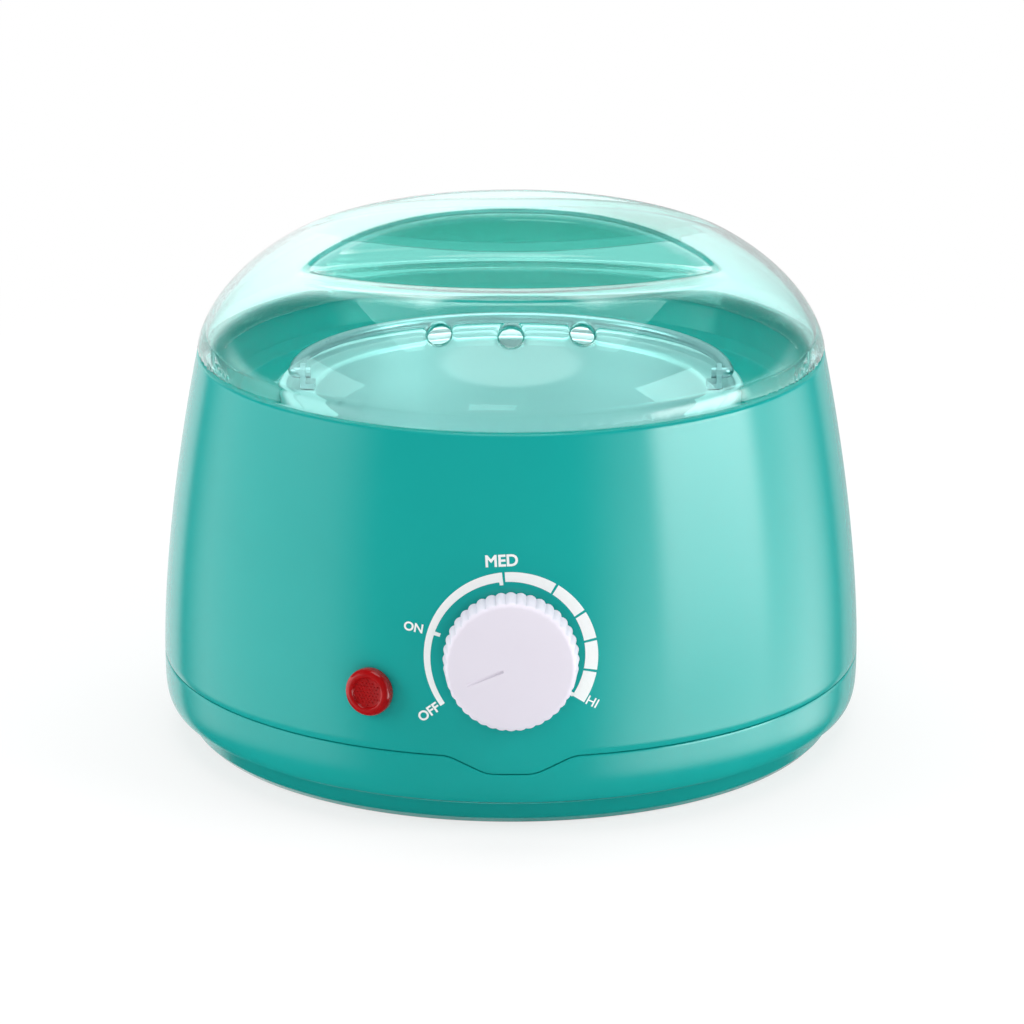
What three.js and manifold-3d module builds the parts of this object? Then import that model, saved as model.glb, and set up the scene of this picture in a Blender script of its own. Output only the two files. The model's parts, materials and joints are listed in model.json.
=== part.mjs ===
// Wax warmer: a lift-out pot of wax sits in an electrically heated well, under a clear lid.
// Millimetres, +Z up. The origin is on the body's axis, on the surface that the feet stand on.
// The dial and the lamp face -Y, the cable gland faces +Y.
import * as THREE from "three";
import { mergeVertices } from "three/addons/utils/BufferGeometryUtils.js";
import Module from "manifold-3d";

const wasm = await Module();
wasm.setup();

// Clearances and working values
const seatGap = 0.3; // between a piece and what carries it
const holeGap = 0.3; // round a pin or a screw in its hole
const overrun = 1; // how far a cutter passes the face it cuts
const weld = 0.5; // how far a joined boss sinks into its wall
const mergeDistance = 1e-4;
const bodySides = 48;
const wellSides = 36;
const holeSides = 18;
const smallSides = 12;
const screwSides = 8;
const hexSides = 6;
const rightAngle = Math.PI / 2;
const fullTurn = 2 * Math.PI;
const degrees = Math.PI / 180;

// Outside of the body
const seamRadius = 92.5;
const creaseInset = 4.9;
const footInset = 3.5;
const rimInset = 10;
const footProud = 0.5;
const footRingHeight = 6.8;
const footEdgeRadius = 1.8;
const bulgeHeight = 13.6;
const bulgePower = 3.85;
const housingHeight = 81;
const taperPower = 1.68;
const wall = 2.4;
const seamGap = 0.3;

const creaseRadius = seamRadius - creaseInset;
const footRadius = creaseRadius - footInset;
const rimRadius = seamRadius - rimInset;
const baseZ = footProud;
const creaseZ = baseZ + footRingHeight;
const seamZ = creaseZ + bulgeHeight;
const rimZ = seamZ + housingHeight;

// Tab of the housing that dips into the base under the dial
const tabTopWidth = 31.4;
const tabFootWidth = 12;
const tabDepth = 4.5;
const tabBlend = 3;
const tabSteps = 8;

// Rim, sloping inner wall and deck
const deckDrop = 12.5;
const slopeInset = 5.3;
const slopeFootRise = 2.6;
const deckCornerWidth = 2.3;
const deckWidth = 14.6; // its flat part, up to the opening
const deckThickness = 2.4;
const rimThickness = 3.2;

const deckZ = rimZ - deckDrop;
const deckUnderZ = deckZ - deckThickness;
const slopeTopRadius = rimRadius - wall;
const slopeFootRadius = slopeTopRadius - slopeInset;
const deckOpeningRadius = slopeFootRadius - deckCornerWidth - deckWidth;

// Base: floor, bosses, posts of the housing that the base screws enter, feet
const floorRise = 1.6;
const floorThickness = 2.2;
const tongueHeight = 3.4;
const tongueRoot = 4.2;
const postInset = 17.5;
const postRadius = 4.4;
const postHeight = 40;
const postStart = 1.2;
const webThickness = 2.2;
const baseBossRadius = 5.6;
const headRecess = 8;
const bodyScrewLength = 26;
const postTurns = [0, 1, 2, 3];
const footPadInset = 16.1;
const footPadRadius = 6.5;
const footStemRadius = 2.4;
const footBarbRadius = 3.4;
const footBarbHeight = 2.6;
const slotCount = 8;
const slotWidth = 3;
const slotLength = 16;
const floorZ = baseZ + floorRise;
const floorTopZ = floorZ + floorThickness;
const postZ = seamZ + postStart;
const postCircle = seamRadius - postInset;
const footCircle = footRadius - footPadInset;
const slotCircle = footCircle / 2;
const headSeatZ = baseZ + headRecess;

// Heating well
const wellAirGap = 2;
const wellStandoff = 22.1; // room under it for the terminal block and the fuse
const wellWall = 2.5;
const wellFloor = 2.5;
const wellTopDrop = 0.8;
const wellBossHeight = 5;
const wellBossRadius = 4;
const wellBossInset = 4.8; // from the foot of the sloping wall
const wellFlangeThickness = 2;
const wellFlangeMargin = 5.5;
const wellNeckGap = 0.8;
const wellScrewTurns = [0, 1, 2, 3];
const wellScrewLength = 6;
const wellRadius = deckOpeningRadius - wellNeckGap;
const wellInnerRadius = wellRadius - wellWall;
const wellBottomZ = floorTopZ + wellStandoff;
const wellFloorTopZ = wellBottomZ + wellFloor;
const wellBossCircle = slopeFootRadius - wellBossInset;
const wellFlangeTopZ = deckUnderZ - wellBossHeight - seatGap;
const wellFlangeZ = wellFlangeTopZ - wellFlangeThickness;
const wellFlangeRadius = wellBossCircle + wellFlangeMargin;

// Pot
const potDraft = 1.6;
const potWall = 1.2;
const potCornerRadius = 5;
const potFlangeWidth = 8.9;
const potBeadHeight = 2.4;
const potRadius = wellInnerRadius - wellAirGap;
const potFlangeRadius = potRadius + potFlangeWidth;
const potFlangeZ = deckZ + seatGap;
const potFloorZ = wellFloorTopZ + seatGap;

// Bail of the pot, folded down to the rear
const bailWire = 1.5;
const bailInset = 4.2;
const bailPivotRise = 4;
const bailPinLength = 3;
const earThickness = 1.4;
const earWidth = 5.4;
const bailRadius = potFlangeRadius - bailInset;
const bailZ = potFlangeZ + potWall + bailPivotRise;

// Heater band and its strap
const heaterThickness = 3;
const heaterRise = 8;
const heaterTopGap = 9.3; // under the well's flange
const heaterSlot = 12;
const strapThickness = 0.8;
const strapHeight = 12;
const lugLength = 9;
const strapNutRadius = 4;
const strapNutHeight = 3.2;
const heaterInnerRadius = wellRadius + seatGap;
const heaterRadius = heaterInnerRadius + heaterThickness;
const heaterZ = wellBottomZ + heaterRise;
const heaterHeight = wellFlangeZ - heaterTopGap - heaterZ;
const strapInnerRadius = heaterRadius + seatGap;
const strapRadius = strapInnerRadius + strapThickness;
const strapZ = heaterZ + (heaterHeight - strapHeight) / 2;
const heaterTabTurn = 30 * degrees; // each side of the rear
const heaterTabWidth = 6.3;
const heaterTabThickness = 0.8;
const heaterTabDrop = 6; // below the band
const heaterTabGap = 4; // under the strap
const heaterTabLength = heaterTabDrop + strapZ - heaterTabGap - heaterZ;

// Screws: head radius, head height, shank radius
const smallScrew = { head: 2.8, headHeight: 2, shank: 1.5, slot: 0.8 };
const bodyScrew = { head: 3.4, headHeight: 2.4, shank: 1.7, slot: 1 };
const strapScrewSize = { head: 3.6, headHeight: 2.6, shank: 2, slot: 1 };
const slotDepthShare = 0.5;

// Cable gland in the rear wall
const glandRise = 11.5;
const glandPadRadius = 7.8;
const glandPadReach = 0.5;
const glandFlangeRadius = 7.2;
const glandFlange = 2;
const glandCollarRadius = 5.6;
const glandCollar = 6.3;
const glandBarrelRadius = 5;
const glandBoreRadius = 3.6;
const glandNutRadius = 7;
const glandNutHeight = 3;
const glandBarrelLength = 16;
const glandPadDepth = 9;
const glandZ = baseZ + glandRise;
const glandFaceY = seamRadius + glandPadReach;

// Lid
const lidRise = 39.1;
const lidWall = 2;
const domeSidePower = 2.5;
const domeTopPower = 1.645;
const domeSteps = 10;
const innerDomeSteps = 6;
const lipDrop = 3.6;
const lipWall = 1.6;
const lipClearance = 0.5;
const lipRoot = 3;
const barHalfWidth = 7;
const barEdgeRadius = 92.4;
const scoopInset = 17.5;
const scoopCentre = 10;
const scoopDepth = 13.8;
const scoopSides = 40;
const ventRadius = 3;
const ventRise = 21.5;
const ventSpacing = 17.9;
const lidZ = rimZ + seamGap;
const scoopRadius = rimRadius - scoopInset;

// Dial: knob, shaft and thermostat, on an axis square to the wall
const dialRise = 25.8;
const knobRadius = 17;
const knobFaceRadius = 16.25;
const knobDepth = 10;
const knobGap = 0.8;
const knobCrown = 0.6;
const knobEdge = 1.6;
const knobWall = 1.8;
const knobRoof = 2.6;
const knobFlutes = 40;
const fluteDepth = 0.45;
const hubWall = 1.9;
const hubRise = 0.6;
const pointerStart = 2;
const pointerEnd = 13;
const pointerWidth = 0.9;
const pointerDepth = 0.5;
const pointerTurn = 202 * degrees; // from +X, anticlockwise as seen from the front: just on from OFF
const shaftRadius = 2.95;
const shaftFlat = 0.7;
const shaftFlatLength = 7;
const shaftTipGap = 0.4;
const clipThickness = 0.4;
const clipWidth = 2.2;
const clipLength = 6;
const wallHoleRadius = 4.6;
const bracketStandoff = 4.6;
const bracketWidth = 39;
const bracketHeight = 20;
const bracketThickness = 1.2;
const bracketScrewX = 15.2;
const bracketScrewLength = 5;
const bracketBossRadius = 3.4;
const bracketLip = 8;
const bushRadius = 4;
const bushFlangeRadius = 6.5;
const bushFlange = 1.5;
const bushFront = 1.2;
const nutRadius = 6.9;
const nutHeight = 2.4;
const thermostatWidth = 22;
const thermostatHeight = 24;
const thermostatDepth = 12;
const leafThickness = 0.7;
const leafWidth = 8;
const contactWidth = 5.5;
const leafLength = 20;
const leafFoot = 5;
const leafRise = 1.2;
const leafSpacing = 1.6;
const terminalWidth = 5;
const terminalThickness = 0.8;
const terminalLength = 10;
const terminalInset = 2.4;
const shaftBore = shaftRadius + holeGap;
const terminalX = (thermostatWidth - terminalWidth) / 2;
const dialZ = seamZ + dialRise;

// Indicator lamp
const lampTurn = -22.4 * degrees;
const lampRise = 15.1;
const lampZ = seamZ + lampRise;
const lensRadius = 6.1;
const lensFaceRadius = 4;
const lensProud = 2.9;
const lensFlange = 1.4;
const lensBarrelRadius = 4.7;
const lensBarrelLength = 9;
const lensWall = 1;
const lampClipWidth = 3;
const lampClipThickness = 0.6;
const bulbClearance = 0.6;
const bulbLength = 10;
const bulbTipGap = 1;
const lampLeadRadius = 0.4;
const lampLeadLength = 7;
const lampLeadSpread = 1.3;
const resistorRadius = 1.3;
const resistorLength = 6.5;

// Thermal fuse under the well
const fuseRadius = 2.1;
const fuseLength = 12;
const fuseLeadRadius = 0.5;
const fuseLeadLength = 6;
const fuseY = 18;
const fuseClipWidth = 6;
const fuseClipThickness = 0.8;
const fuseClipFoot = 8;
const fuseScrewLength = 2.4;
const fuseZ = wellBottomZ - seatGap - fuseRadius;
const fuseScrewOffset = fuseRadius + seatGap + fuseClipThickness + smallScrew.head + seatGap;

// Terminal block and wires
const blockWidth = 24;
const blockDepth = 16;
const blockHeight = 12;
const blockInset = 17; // from the circle of the feet
const blockPillarHeight = 4;
const blockPillarRadius = 4.2;
const poleSpacing = 14;
const poleBore = 2.4;
const poleHeight = 4;
const clampScrewRadius = 1.8;
const clampScrewLength = 4;
const clampScrewInset = 3.6;
const blockScrewBite = 3;
const polePairShift = 1.1;
const blockScrewSink = 2.6;
const wireRadius = 1.1;
const lampWireRadius = 0.8;
const outerWireGap = 5; // from the heater's strap
const innerWireCircle = 25;
const wireSpacing = 5;
const outerWireRise = 9;
const innerWireRise = 4.5;
const liveWireTurn = 60 * degrees; // each side of +X
const switchedWireTurns = [-108 * degrees, -230 * degrees];
const lampWireTurns = [-125 * degrees, -235 * degrees];
const wireSides = 6;
const wireStep = 8;
const wireLead = 3.5;
const poleLead = 7;
const outerWireCircle = strapRadius + outerWireGap;
const outerWireZ = floorTopZ + outerWireRise;
const innerWireZ = floorTopZ + innerWireRise;
const blockY = footCircle - blockInset;
const poleFaceY = blockY - blockDepth / 2;
const blockZ = floorTopZ + blockPillarHeight + seatGap;
const poleZ = blockZ + poleHeight;

// Solids and plain shapes

// A closed geometry as a solid that can be joined and cut.
function solidOf(geometry) {
  const loose = geometry.index ? geometry.toNonIndexed() : geometry;
  const bare = new THREE.BufferGeometry();
  bare.setAttribute("position", loose.getAttribute("position"));
  const merged = mergeVertices(bare, mergeDistance);
  return new wasm.Manifold(
    new wasm.Mesh({
      numProp: 3,
      vertProperties: merged.getAttribute("position").array,
      triVerts: new Uint32Array(merged.index.array),
    }),
  );
}

// A joined or cut solid as a geometry.
function geometryOf(solid) {
  const { vertProperties, triVerts } = solid.getMesh();
  const geometry = new THREE.BufferGeometry();
  geometry.setAttribute("position", new THREE.BufferAttribute(vertProperties, 3));
  geometry.setIndex(new THREE.BufferAttribute(triVerts, 1));
  return geometry;
}

function join(first, ...others) {
  return others.reduce((whole, geometry) => whole.add(solidOf(geometry)), solidOf(first));
}

function cut(solid, ...cutters) {
  return cutters.reduce((rest, geometry) => rest.subtract(solidOf(geometry)), solid);
}

// A shape turned about Z from [radius, height] pairs. An outline off the axis closes on itself.
function turned(outline, sides) {
  const points = outline.map(([radius, height]) => new THREE.Vector2(radius, height));
  if (THREE.ShapeUtils.isClockWise(points)) points.reverse();
  if (points[0].x > 0 || points.at(-1).x > 0) points.push(points[0].clone());
  return new THREE.LatheGeometry(points, sides).rotateX(rightAngle);
}

// A rod that stands on z = 0.
function rod(radius, length, sides = smallSides) {
  return new THREE.CylinderGeometry(radius, radius, length, sides)
    .rotateX(rightAngle)
    .translate(0, 0, length / 2);
}

// A tube that stands on z = 0.
function tube(innerRadius, outerRadius, length, sides = smallSides) {
  return turned(
    [
      [innerRadius, 0],
      [outerRadius, 0],
      [outerRadius, length],
      [innerRadius, length],
    ],
    sides,
  );
}

// A block that stands on z = 0, centred on the other two axes.
function block(width, depth, height) {
  return new THREE.BoxGeometry(width, depth, height).translate(0, 0, height / 2);
}

// A flat outline in X and Y, made thick upwards from z = 0.
function plate(points, thickness) {
  const shape = new THREE.Shape(points.map(([x, y]) => new THREE.Vector2(x, y)));
  return new THREE.ExtrudeGeometry(shape, { depth: thickness, bevelEnabled: false });
}

// A screw with its head under z = 0 and its shank above it.
function screw(size, length) {
  const head = rod(size.head, size.headHeight, screwSides).translate(0, 0, -size.headHeight);
  const shank = rod(size.shank, length + weld, screwSides).translate(0, 0, -weld);
  const slot = block(2 * size.head + overrun, size.slot, size.headHeight * slotDepthShare + overrun);
  slot.translate(0, 0, -size.headHeight - overrun);
  return cut(join(head, shank), slot);
}

// A round bar along a smooth line through points.
function bar(points, radius, sides, step) {
  const curve = new THREE.CatmullRomCurve3(points, false, "centripetal");
  const steps = Math.max(2, Math.round(curve.getLength() / step));
  const section = new THREE.Shape().absarc(0, 0, radius, 0, fullTurn);
  return new THREE.ExtrudeGeometry(section, {
    steps,
    curveSegments: sides / 2, // a full circle gets two steps for each
    extrudePath: curve,
    bevelEnabled: false,
  });
}

function turnedAbout(geometry, angle) {
  return geometry.clone().rotateZ(angle);
}

// A shape drawn in X and Y and made thick in Z, stood up so that these become Y, Z and X.
function stoodUp(geometry) {
  const toSideView = new THREE.Matrix4().makeBasis(
    new THREE.Vector3(0, 1, 0),
    new THREE.Vector3(0, 0, 1),
    new THREE.Vector3(1, 0, 0),
  );
  return geometry.applyMatrix4(toSideView);
}

// Colours and finishes

const finishes = {
  tealPlastic: { color: 0x2fb3a2, roughness: 0.25, metalness: 0 },
  clearTeal: { color: 0x9fe0d8, roughness: 0.08, metalness: 0, transparent: true, opacity: 0.45 },
  whitePlastic: { color: 0xeeeaf2, roughness: 0.4, metalness: 0 },
  redLens: { color: 0xc4161c, roughness: 0.2, metalness: 0 },
  aluminium: { color: 0xd4d6d8, roughness: 0.35, metalness: 0.9 },
  steel: { color: 0xb9bcc0, roughness: 0.3, metalness: 1 },
  brass: { color: 0xc9a54c, roughness: 0.35, metalness: 1 },
  mica: { color: 0xa8977a, roughness: 0.6, metalness: 0.1 },
  ceramic: { color: 0xe9e3d6, roughness: 0.6, metalness: 0 },
  rubber: { color: 0x2b2b2d, roughness: 0.85, metalness: 0 },
  blackPlastic: { color: 0x1e1f21, roughness: 0.5, metalness: 0 },
  glass: { color: 0xffd8b0, roughness: 0.1, metalness: 0, transparent: true, opacity: 0.7 },
  fuseSleeve: { color: 0xf0ead8, roughness: 0.8, metalness: 0 },
  brownWire: { color: 0x6b3d22, roughness: 0.5, metalness: 0 },
  blueWire: { color: 0x2a55a8, roughness: 0.5, metalness: 0 },
  whiteWire: { color: 0xe6e4df, roughness: 0.5, metalness: 0 },
  resistorBody: { color: 0xc9b187, roughness: 0.5, metalness: 0 },
};

// One named mesh, from a geometry or a solid.
function piece(name, shape, finish) {
  const geometry = shape.isBufferGeometry ? shape : geometryOf(shape);
  if (!geometry.getAttribute("normal")) geometry.computeVertexNormals();
  const mesh = new THREE.Mesh(geometry, new THREE.MeshStandardMaterial(finishes[finish]));
  mesh.name = name;
  return mesh;
}

// The body's surface

// Outer radius of the housing at a height.
function wallRadiusAt(z) {
  const share = Math.max(0, (z - seamZ) / housingHeight);
  return seamRadius - rimInset * share ** taperPower;
}

// How far the wall leans inwards at a height, as an angle.
function wallLeanAt(z) {
  const share = (z - seamZ) / housingHeight;
  return Math.atan((rimInset * taperPower * share ** (taperPower - 1)) / housingHeight);
}

// Outer surface of the base's bulge, from the crease up to the seam, moved in by a wall.
function bulgeOutline(inset, steps) {
  const outline = [];
  for (let i = 0; i <= steps; i++) {
    const turn = (rightAngle * i) / steps;
    const out = Math.sin(turn) ** (2 / bulgePower);
    const up = 1 - Math.cos(turn) ** (2 / bulgePower);
    outline.push([creaseRadius + creaseInset * out - inset, creaseZ + bulgeHeight * up]);
  }
  return outline;
}

// The place on the wall at a turn from the front and a height, with +Z square to the wall and +Y up it.
function placeOnWall(turn, z) {
  return new THREE.Matrix4()
    .makeRotationZ(turn)
    .multiply(new THREE.Matrix4().makeTranslation(0, -wallRadiusAt(z), z))
    .multiply(new THREE.Matrix4().makeRotationX(rightAngle - wallLeanAt(z)));
}

const dialPlace = placeOnWall(0, dialZ);
const lampPlace = placeOnWall(lampTurn, lampZ);

// How far a flat face that touches the wall on its axis stands off at a distance to the side.
function wallSag(radius, side) {
  return radius - Math.sqrt(radius ** 2 - side ** 2);
}

// The tab below the dial, wider by a gap: straight slopes, blended into its flat foot.
function tabPrism(gap) {
  const half = tabTopWidth / 2 + gap;
  const footHalf = tabFootWidth / 2 + gap;
  const foot = -tabDepth - gap;
  const slope = Math.hypot(half - footHalf, foot);
  const blendX = (tabBlend * (half - footHalf)) / slope;
  const blendZ = (tabBlend * foot) / slope;
  const shape = new THREE.Shape();
  shape.moveTo(-half, overrun);
  shape.lineTo(-half, 0);
  shape.lineTo(-footHalf - blendX, foot - blendZ);
  shape.quadraticCurveTo(-footHalf, foot, -footHalf + tabBlend, foot);
  shape.lineTo(footHalf - tabBlend, foot);
  shape.quadraticCurveTo(footHalf, foot, footHalf + blendX, foot - blendZ);
  shape.lineTo(half, 0);
  shape.lineTo(half, overrun);
  const options = { depth: 2 * seamRadius, bevelEnabled: false, curveSegments: tabSteps / 2 };
  return new THREE.ExtrudeGeometry(shape, options).rotateX(rightAngle).translate(0, 0, seamZ);
}

// Casing

// Rods on a circle round the axis, at quarter turns, for bosses and their holes.
function bossRing(radius, length, circle, z, turns, offset) {
  return turns.map((turn) =>
    turnedAbout(rod(radius, length).translate(circle, 0, z), (turn + offset) * rightAngle),
  );
}

function upperHousing() {
  const outerSteps = 7;
  const outline = [];
  for (let i = 0; i <= outerSteps; i++) {
    const z = seamZ + (housingHeight * i) / outerSteps;
    outline.push([wallRadiusAt(z), z]);
  }
  const innerTopZ = rimZ - rimThickness;
  const slope = slopeInset / (deckDrop - slopeFootRise);
  const slopeRadiusAt = (z) => slopeTopRadius - (rimZ - z) * slope;
  outline.push([slopeTopRadius, rimZ]);
  outline.push([slopeFootRadius, deckZ + slopeFootRise]);
  outline.push([slopeFootRadius - deckCornerWidth, deckZ]);
  outline.push([deckOpeningRadius, deckZ], [deckOpeningRadius, deckUnderZ]);
  outline.push([slopeFootRadius - deckCornerWidth + deckThickness / 2, deckUnderZ]);
  outline.push([slopeFootRadius + deckThickness, deckZ + slopeFootRise - deckThickness / 2]);
  outline.push([slopeRadiusAt(innerTopZ) + deckThickness / 2, innerTopZ]);
  const innerSteps = 4;
  for (let i = innerSteps; i >= 0; i--) {
    const z = seamZ + ((innerTopZ - seamZ) * i) / innerSteps;
    outline.push([wallRadiusAt(z) - wall, z]);
  }
  const shell = join(turned(outline, bodySides));

  const tabRing = bulgeOutline(0, tabSteps).filter(([, z]) => z > seamZ - tabDepth - wall);
  const skin = turned([...tabRing, [seamRadius, seamZ + weld], [seamRadius - wall, seamZ + weld],
    [seamRadius - wall, tabRing[0][1]]], bodySides);
  const tab = solidOf(skin).intersect(solidOf(tabPrism(0)));

  const posts = bossRing(postRadius, postHeight, postCircle, postZ, postTurns, 0.5);
  const webZ = seamZ + tongueHeight + seatGap;
  const webs = postTurns.map((turn) => {
    const reach = wallRadiusAt(postZ + postHeight) - wall / 2 - postCircle;
    const web = block(reach, webThickness, postZ + postHeight - webZ);
    web.translate(postCircle + reach / 2, 0, webZ);
    return turnedAbout(web, (turn + 0.5) * rightAngle);
  });
  const bossZ = deckUnderZ - wellBossHeight;
  const bossLength = wellBossHeight + weld;
  const wellBosses = bossRing(wellBossRadius, bossLength, wellBossCircle, bossZ, wellScrewTurns, 0);
  const sag = wallSag(wallRadiusAt(dialZ), bracketScrewX);
  const bracketBossLength = bracketStandoff + wall / 2 - sag;
  const bracketBosses = [-1, 1].map((side) =>
    rod(bracketBossRadius, bracketBossLength)
      .translate(side * bracketScrewX, 0, -wall - bracketStandoff)
      .applyMatrix4(dialPlace),
  );

  const postHoles = bossRing(
    bodyScrew.shank + holeGap, headSeatZ + bodyScrewLength - postZ + overrun + holeGap, postCircle,
    postZ - overrun, postTurns, 0.5,
  );
  const wellHoles = bossRing(
    smallScrew.shank + holeGap, wellBossHeight + overrun, wellBossCircle, bossZ - overrun,
    wellScrewTurns, 0,
  );
  const bracketHoleDepth = bracketScrewLength - bracketThickness - seatGap;
  const bracketHoles = [-1, 1].map((side) =>
    rod(smallScrew.shank + holeGap, bracketHoleDepth + overrun)
      .translate(side * bracketScrewX, 0, -wall - bracketStandoff - overrun)
      .applyMatrix4(dialPlace),
  );
  const shaftHole = rod(wallHoleRadius, 2 * wall + overrun, holeSides)
    .translate(0, 0, -2 * wall)
    .applyMatrix4(dialPlace);
  const lensHole = rod(lensBarrelRadius + holeGap, 2 * wall + overrun, holeSides)
    .translate(0, 0, -2 * wall)
    .applyMatrix4(lampPlace);

  const solid = [...posts, ...webs, ...wellBosses, ...bracketBosses].reduce(
    (whole, geometry) => whole.add(solidOf(geometry)),
    shell.add(tab),
  );
  return cut(solid, ...postHoles, ...wellHoles, ...bracketHoles, shaftHole, lensHole);
}

function baseShell() {
  const topZ = seamZ - seamGap;
  const outer = bulgeOutline(0, 6).map(([radius, z]) => [radius, Math.min(z, topZ)]);
  const inner = bulgeOutline(wall, 3).filter(([, z]) => z < topZ - tongueRoot);
  const tongueRadius = seamRadius - wall - seamGap;
  const outline = [
    [footRadius - wall, baseZ],
    [footRadius - footEdgeRadius / 2, baseZ],
    [footRadius, baseZ + footEdgeRadius / 2],
    [footRadius + footEdgeRadius, baseZ + footEdgeRadius],
    ...outer,
    [tongueRadius, topZ],
    [tongueRadius, topZ + tongueHeight],
    [tongueRadius - wall, topZ + tongueHeight],
    [tongueRadius - wall, topZ - tongueRoot],
    ...inner.reverse(),
    [creaseRadius - wall, floorTopZ],
    [0, floorTopZ],
    [0, floorZ],
    [footRadius - wall, floorZ],
  ];
  const start = outline.findIndex(([radius]) => radius === 0) + 1;
  const rolled = [...outline.slice(start), ...outline.slice(0, start)];
  const shell = turned(rolled, bodySides);

  const bosses = bossRing(
    baseBossRadius, postZ - seatGap - floorTopZ + weld, postCircle, floorTopZ - weld, postTurns, 0.5,
  );
  const pad = rod(glandPadRadius, glandPadDepth, holeSides)
    .rotateX(-rightAngle)
    .translate(0, glandFaceY - glandPadDepth, glandZ);
  const pillar = rod(blockPillarRadius, blockPillarHeight + weld).translate(0, blockY, floorTopZ - weld);
  const solid = join(shell, ...bosses, pad, pillar);

  const notch = solidOf(
    tube(seamRadius - wall - seamGap, seamRadius + overrun, bulgeHeight, bodySides)
      .translate(0, 0, creaseZ + overrun),
  ).intersect(solidOf(tabPrism(seamGap)));
  const headHoles = bossRing(
    bodyScrew.head + holeGap, headRecess + overrun, postCircle, baseZ - overrun, postTurns, 0.5,
  );
  const shankHoles = bossRing(
    bodyScrew.shank + holeGap, postZ - headSeatZ + 2 * overrun, postCircle, headSeatZ - overrun,
    postTurns, 0.5,
  );
  const footHoles = bossRing(
    footStemRadius + holeGap, floorThickness + 2 * overrun, footCircle, floorZ - overrun, postTurns, 0,
  );
  const slots = Array.from({ length: slotCount }, (_, i) => {
    const slot = block(slotLength, slotWidth, floorThickness + 2 * overrun);
    slot.translate(slotCircle, 0, floorZ - overrun);
    return turnedAbout(slot, ((i + 0.5) * fullTurn) / slotCount);
  });
  const glandHole = rod(glandBarrelRadius + holeGap, glandPadDepth + 2 * overrun, holeSides)
    .rotateX(-rightAngle)
    .translate(0, glandFaceY - glandPadDepth - overrun, glandZ);
  const pillarHole = rod(smallScrew.shank + holeGap, blockPillarHeight + overrun)
    .translate(0, blockY, floorTopZ);
  return cut(
    solid.subtract(notch), ...headHoles, ...shankHoles, ...footHoles, ...slots, glandHole, pillarHole,
  );
}

function rubberFoot() {
  const stemTop = floorTopZ + seatGap;
  return turned(
    [
      [0, 0],
      [footPadRadius - footProud, 0],
      [footPadRadius, footProud],
      [footPadRadius, floorZ - seatGap],
      [footStemRadius, floorZ - seatGap],
      [footStemRadius, stemTop],
      [footBarbRadius, stemTop],
      [footStemRadius, stemTop + footBarbHeight],
      [0, stemTop + footBarbHeight],
    ],
    smallSides,
  );
}

function cordGland() {
  const face = seatGap;
  const shape = turned(
    [
      [glandBoreRadius, seatGap - glandBarrelLength],
      [glandBarrelRadius, seatGap - glandBarrelLength],
      [glandBarrelRadius, face],
      [glandFlangeRadius, face],
      [glandFlangeRadius, face + glandFlange],
      [glandCollarRadius, face + glandFlange],
      [glandCollarRadius - seatGap, face + glandFlange + glandCollar],
      [glandBoreRadius, face + glandFlange + glandCollar],
    ],
    holeSides,
  );
  return shape.rotateX(-rightAngle).translate(0, glandFaceY, glandZ);
}

function glandNut() {
  const nut = solidOf(rod(glandNutRadius, glandNutHeight, hexSides));
  const hole = rod(glandBarrelRadius + holeGap, glandNutHeight + 2 * overrun).translate(0, 0, -overrun);
  return geometryOf(cut(nut, hole))
    .rotateX(-rightAngle)
    .translate(0, glandFaceY - glandPadDepth - seatGap - glandNutHeight, glandZ);
}

// Lid

// Height of the dome above its foot at a radius.
function domeRise(radius, footRadiusOfDome, rise) {
  return rise * (1 - (radius / footRadiusOfDome) ** domeSidePower) ** (1 / domeTopPower);
}

function dome(radius, rise, z, foot, steps) {
  const outline = [
    [0, foot],
    [radius, foot],
  ];
  for (let i = 1; i < steps; i++) {
    const turn = (rightAngle * i) / steps;
    outline.push([
      radius * Math.cos(turn) ** (2 / domeSidePower),
      z + rise * Math.sin(turn) ** (2 / domeTopPower),
    ]);
  }
  outline.push([0, z + rise]);
  return turned(outline, bodySides);
}

// Space of one finger scoop, between the bar's edge and an outer arc, over a sloping floor.
// It can be made larger all round by a wall.
function scoop(grow) {
  const outerY = scoopRadius - scoopCentre;
  const topZ = rimZ + lidRise + overrun;
  const floorEndZ = rimZ + domeRise(outerY, rimRadius, lidRise);
  const floorStartZ = rimZ + domeRise(barHalfWidth, rimRadius, lidRise) - scoopDepth;
  const tilt = Math.atan2(floorEndZ - floorStartZ, outerY - barHalfWidth);
  const height = lidRise + overrun;
  const outer = rod(scoopRadius + grow, height, scoopSides).translate(0, scoopCentre, topZ - height);
  const inner = rod(barEdgeRadius + grow, height, 2 * scoopSides)
    .translate(0, -barHalfWidth - barEdgeRadius, topZ - height);
  const above = block(2 * seamRadius, 2 * seamRadius, lidRise)
    .rotateX(-tilt)
    .translate(0, -barHalfWidth, floorStartZ - grow);
  return geometryOf(solidOf(outer).intersect(solidOf(inner)).intersect(solidOf(above)));
}

// One vent hole through the dome, square to its surface.
function vent(turn) {
  const share = ventRise / lidRise;
  const radius = rimRadius * (1 - share ** domeTopPower) ** (1 / domeSidePower);
  const innerRise = domeRise(radius - lidWall / 2, rimRadius, lidRise);
  const outerRise = domeRise(radius + lidWall / 2, rimRadius, lidRise);
  const slope = (innerRise - outerRise) / lidWall;
  return rod(ventRadius, 4 * lidWall)
    .translate(0, 0, -2 * lidWall)
    .rotateX(Math.atan(slope))
    .translate(0, -radius, rimZ + ventRise)
    .rotateZ(turn);
}

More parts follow.
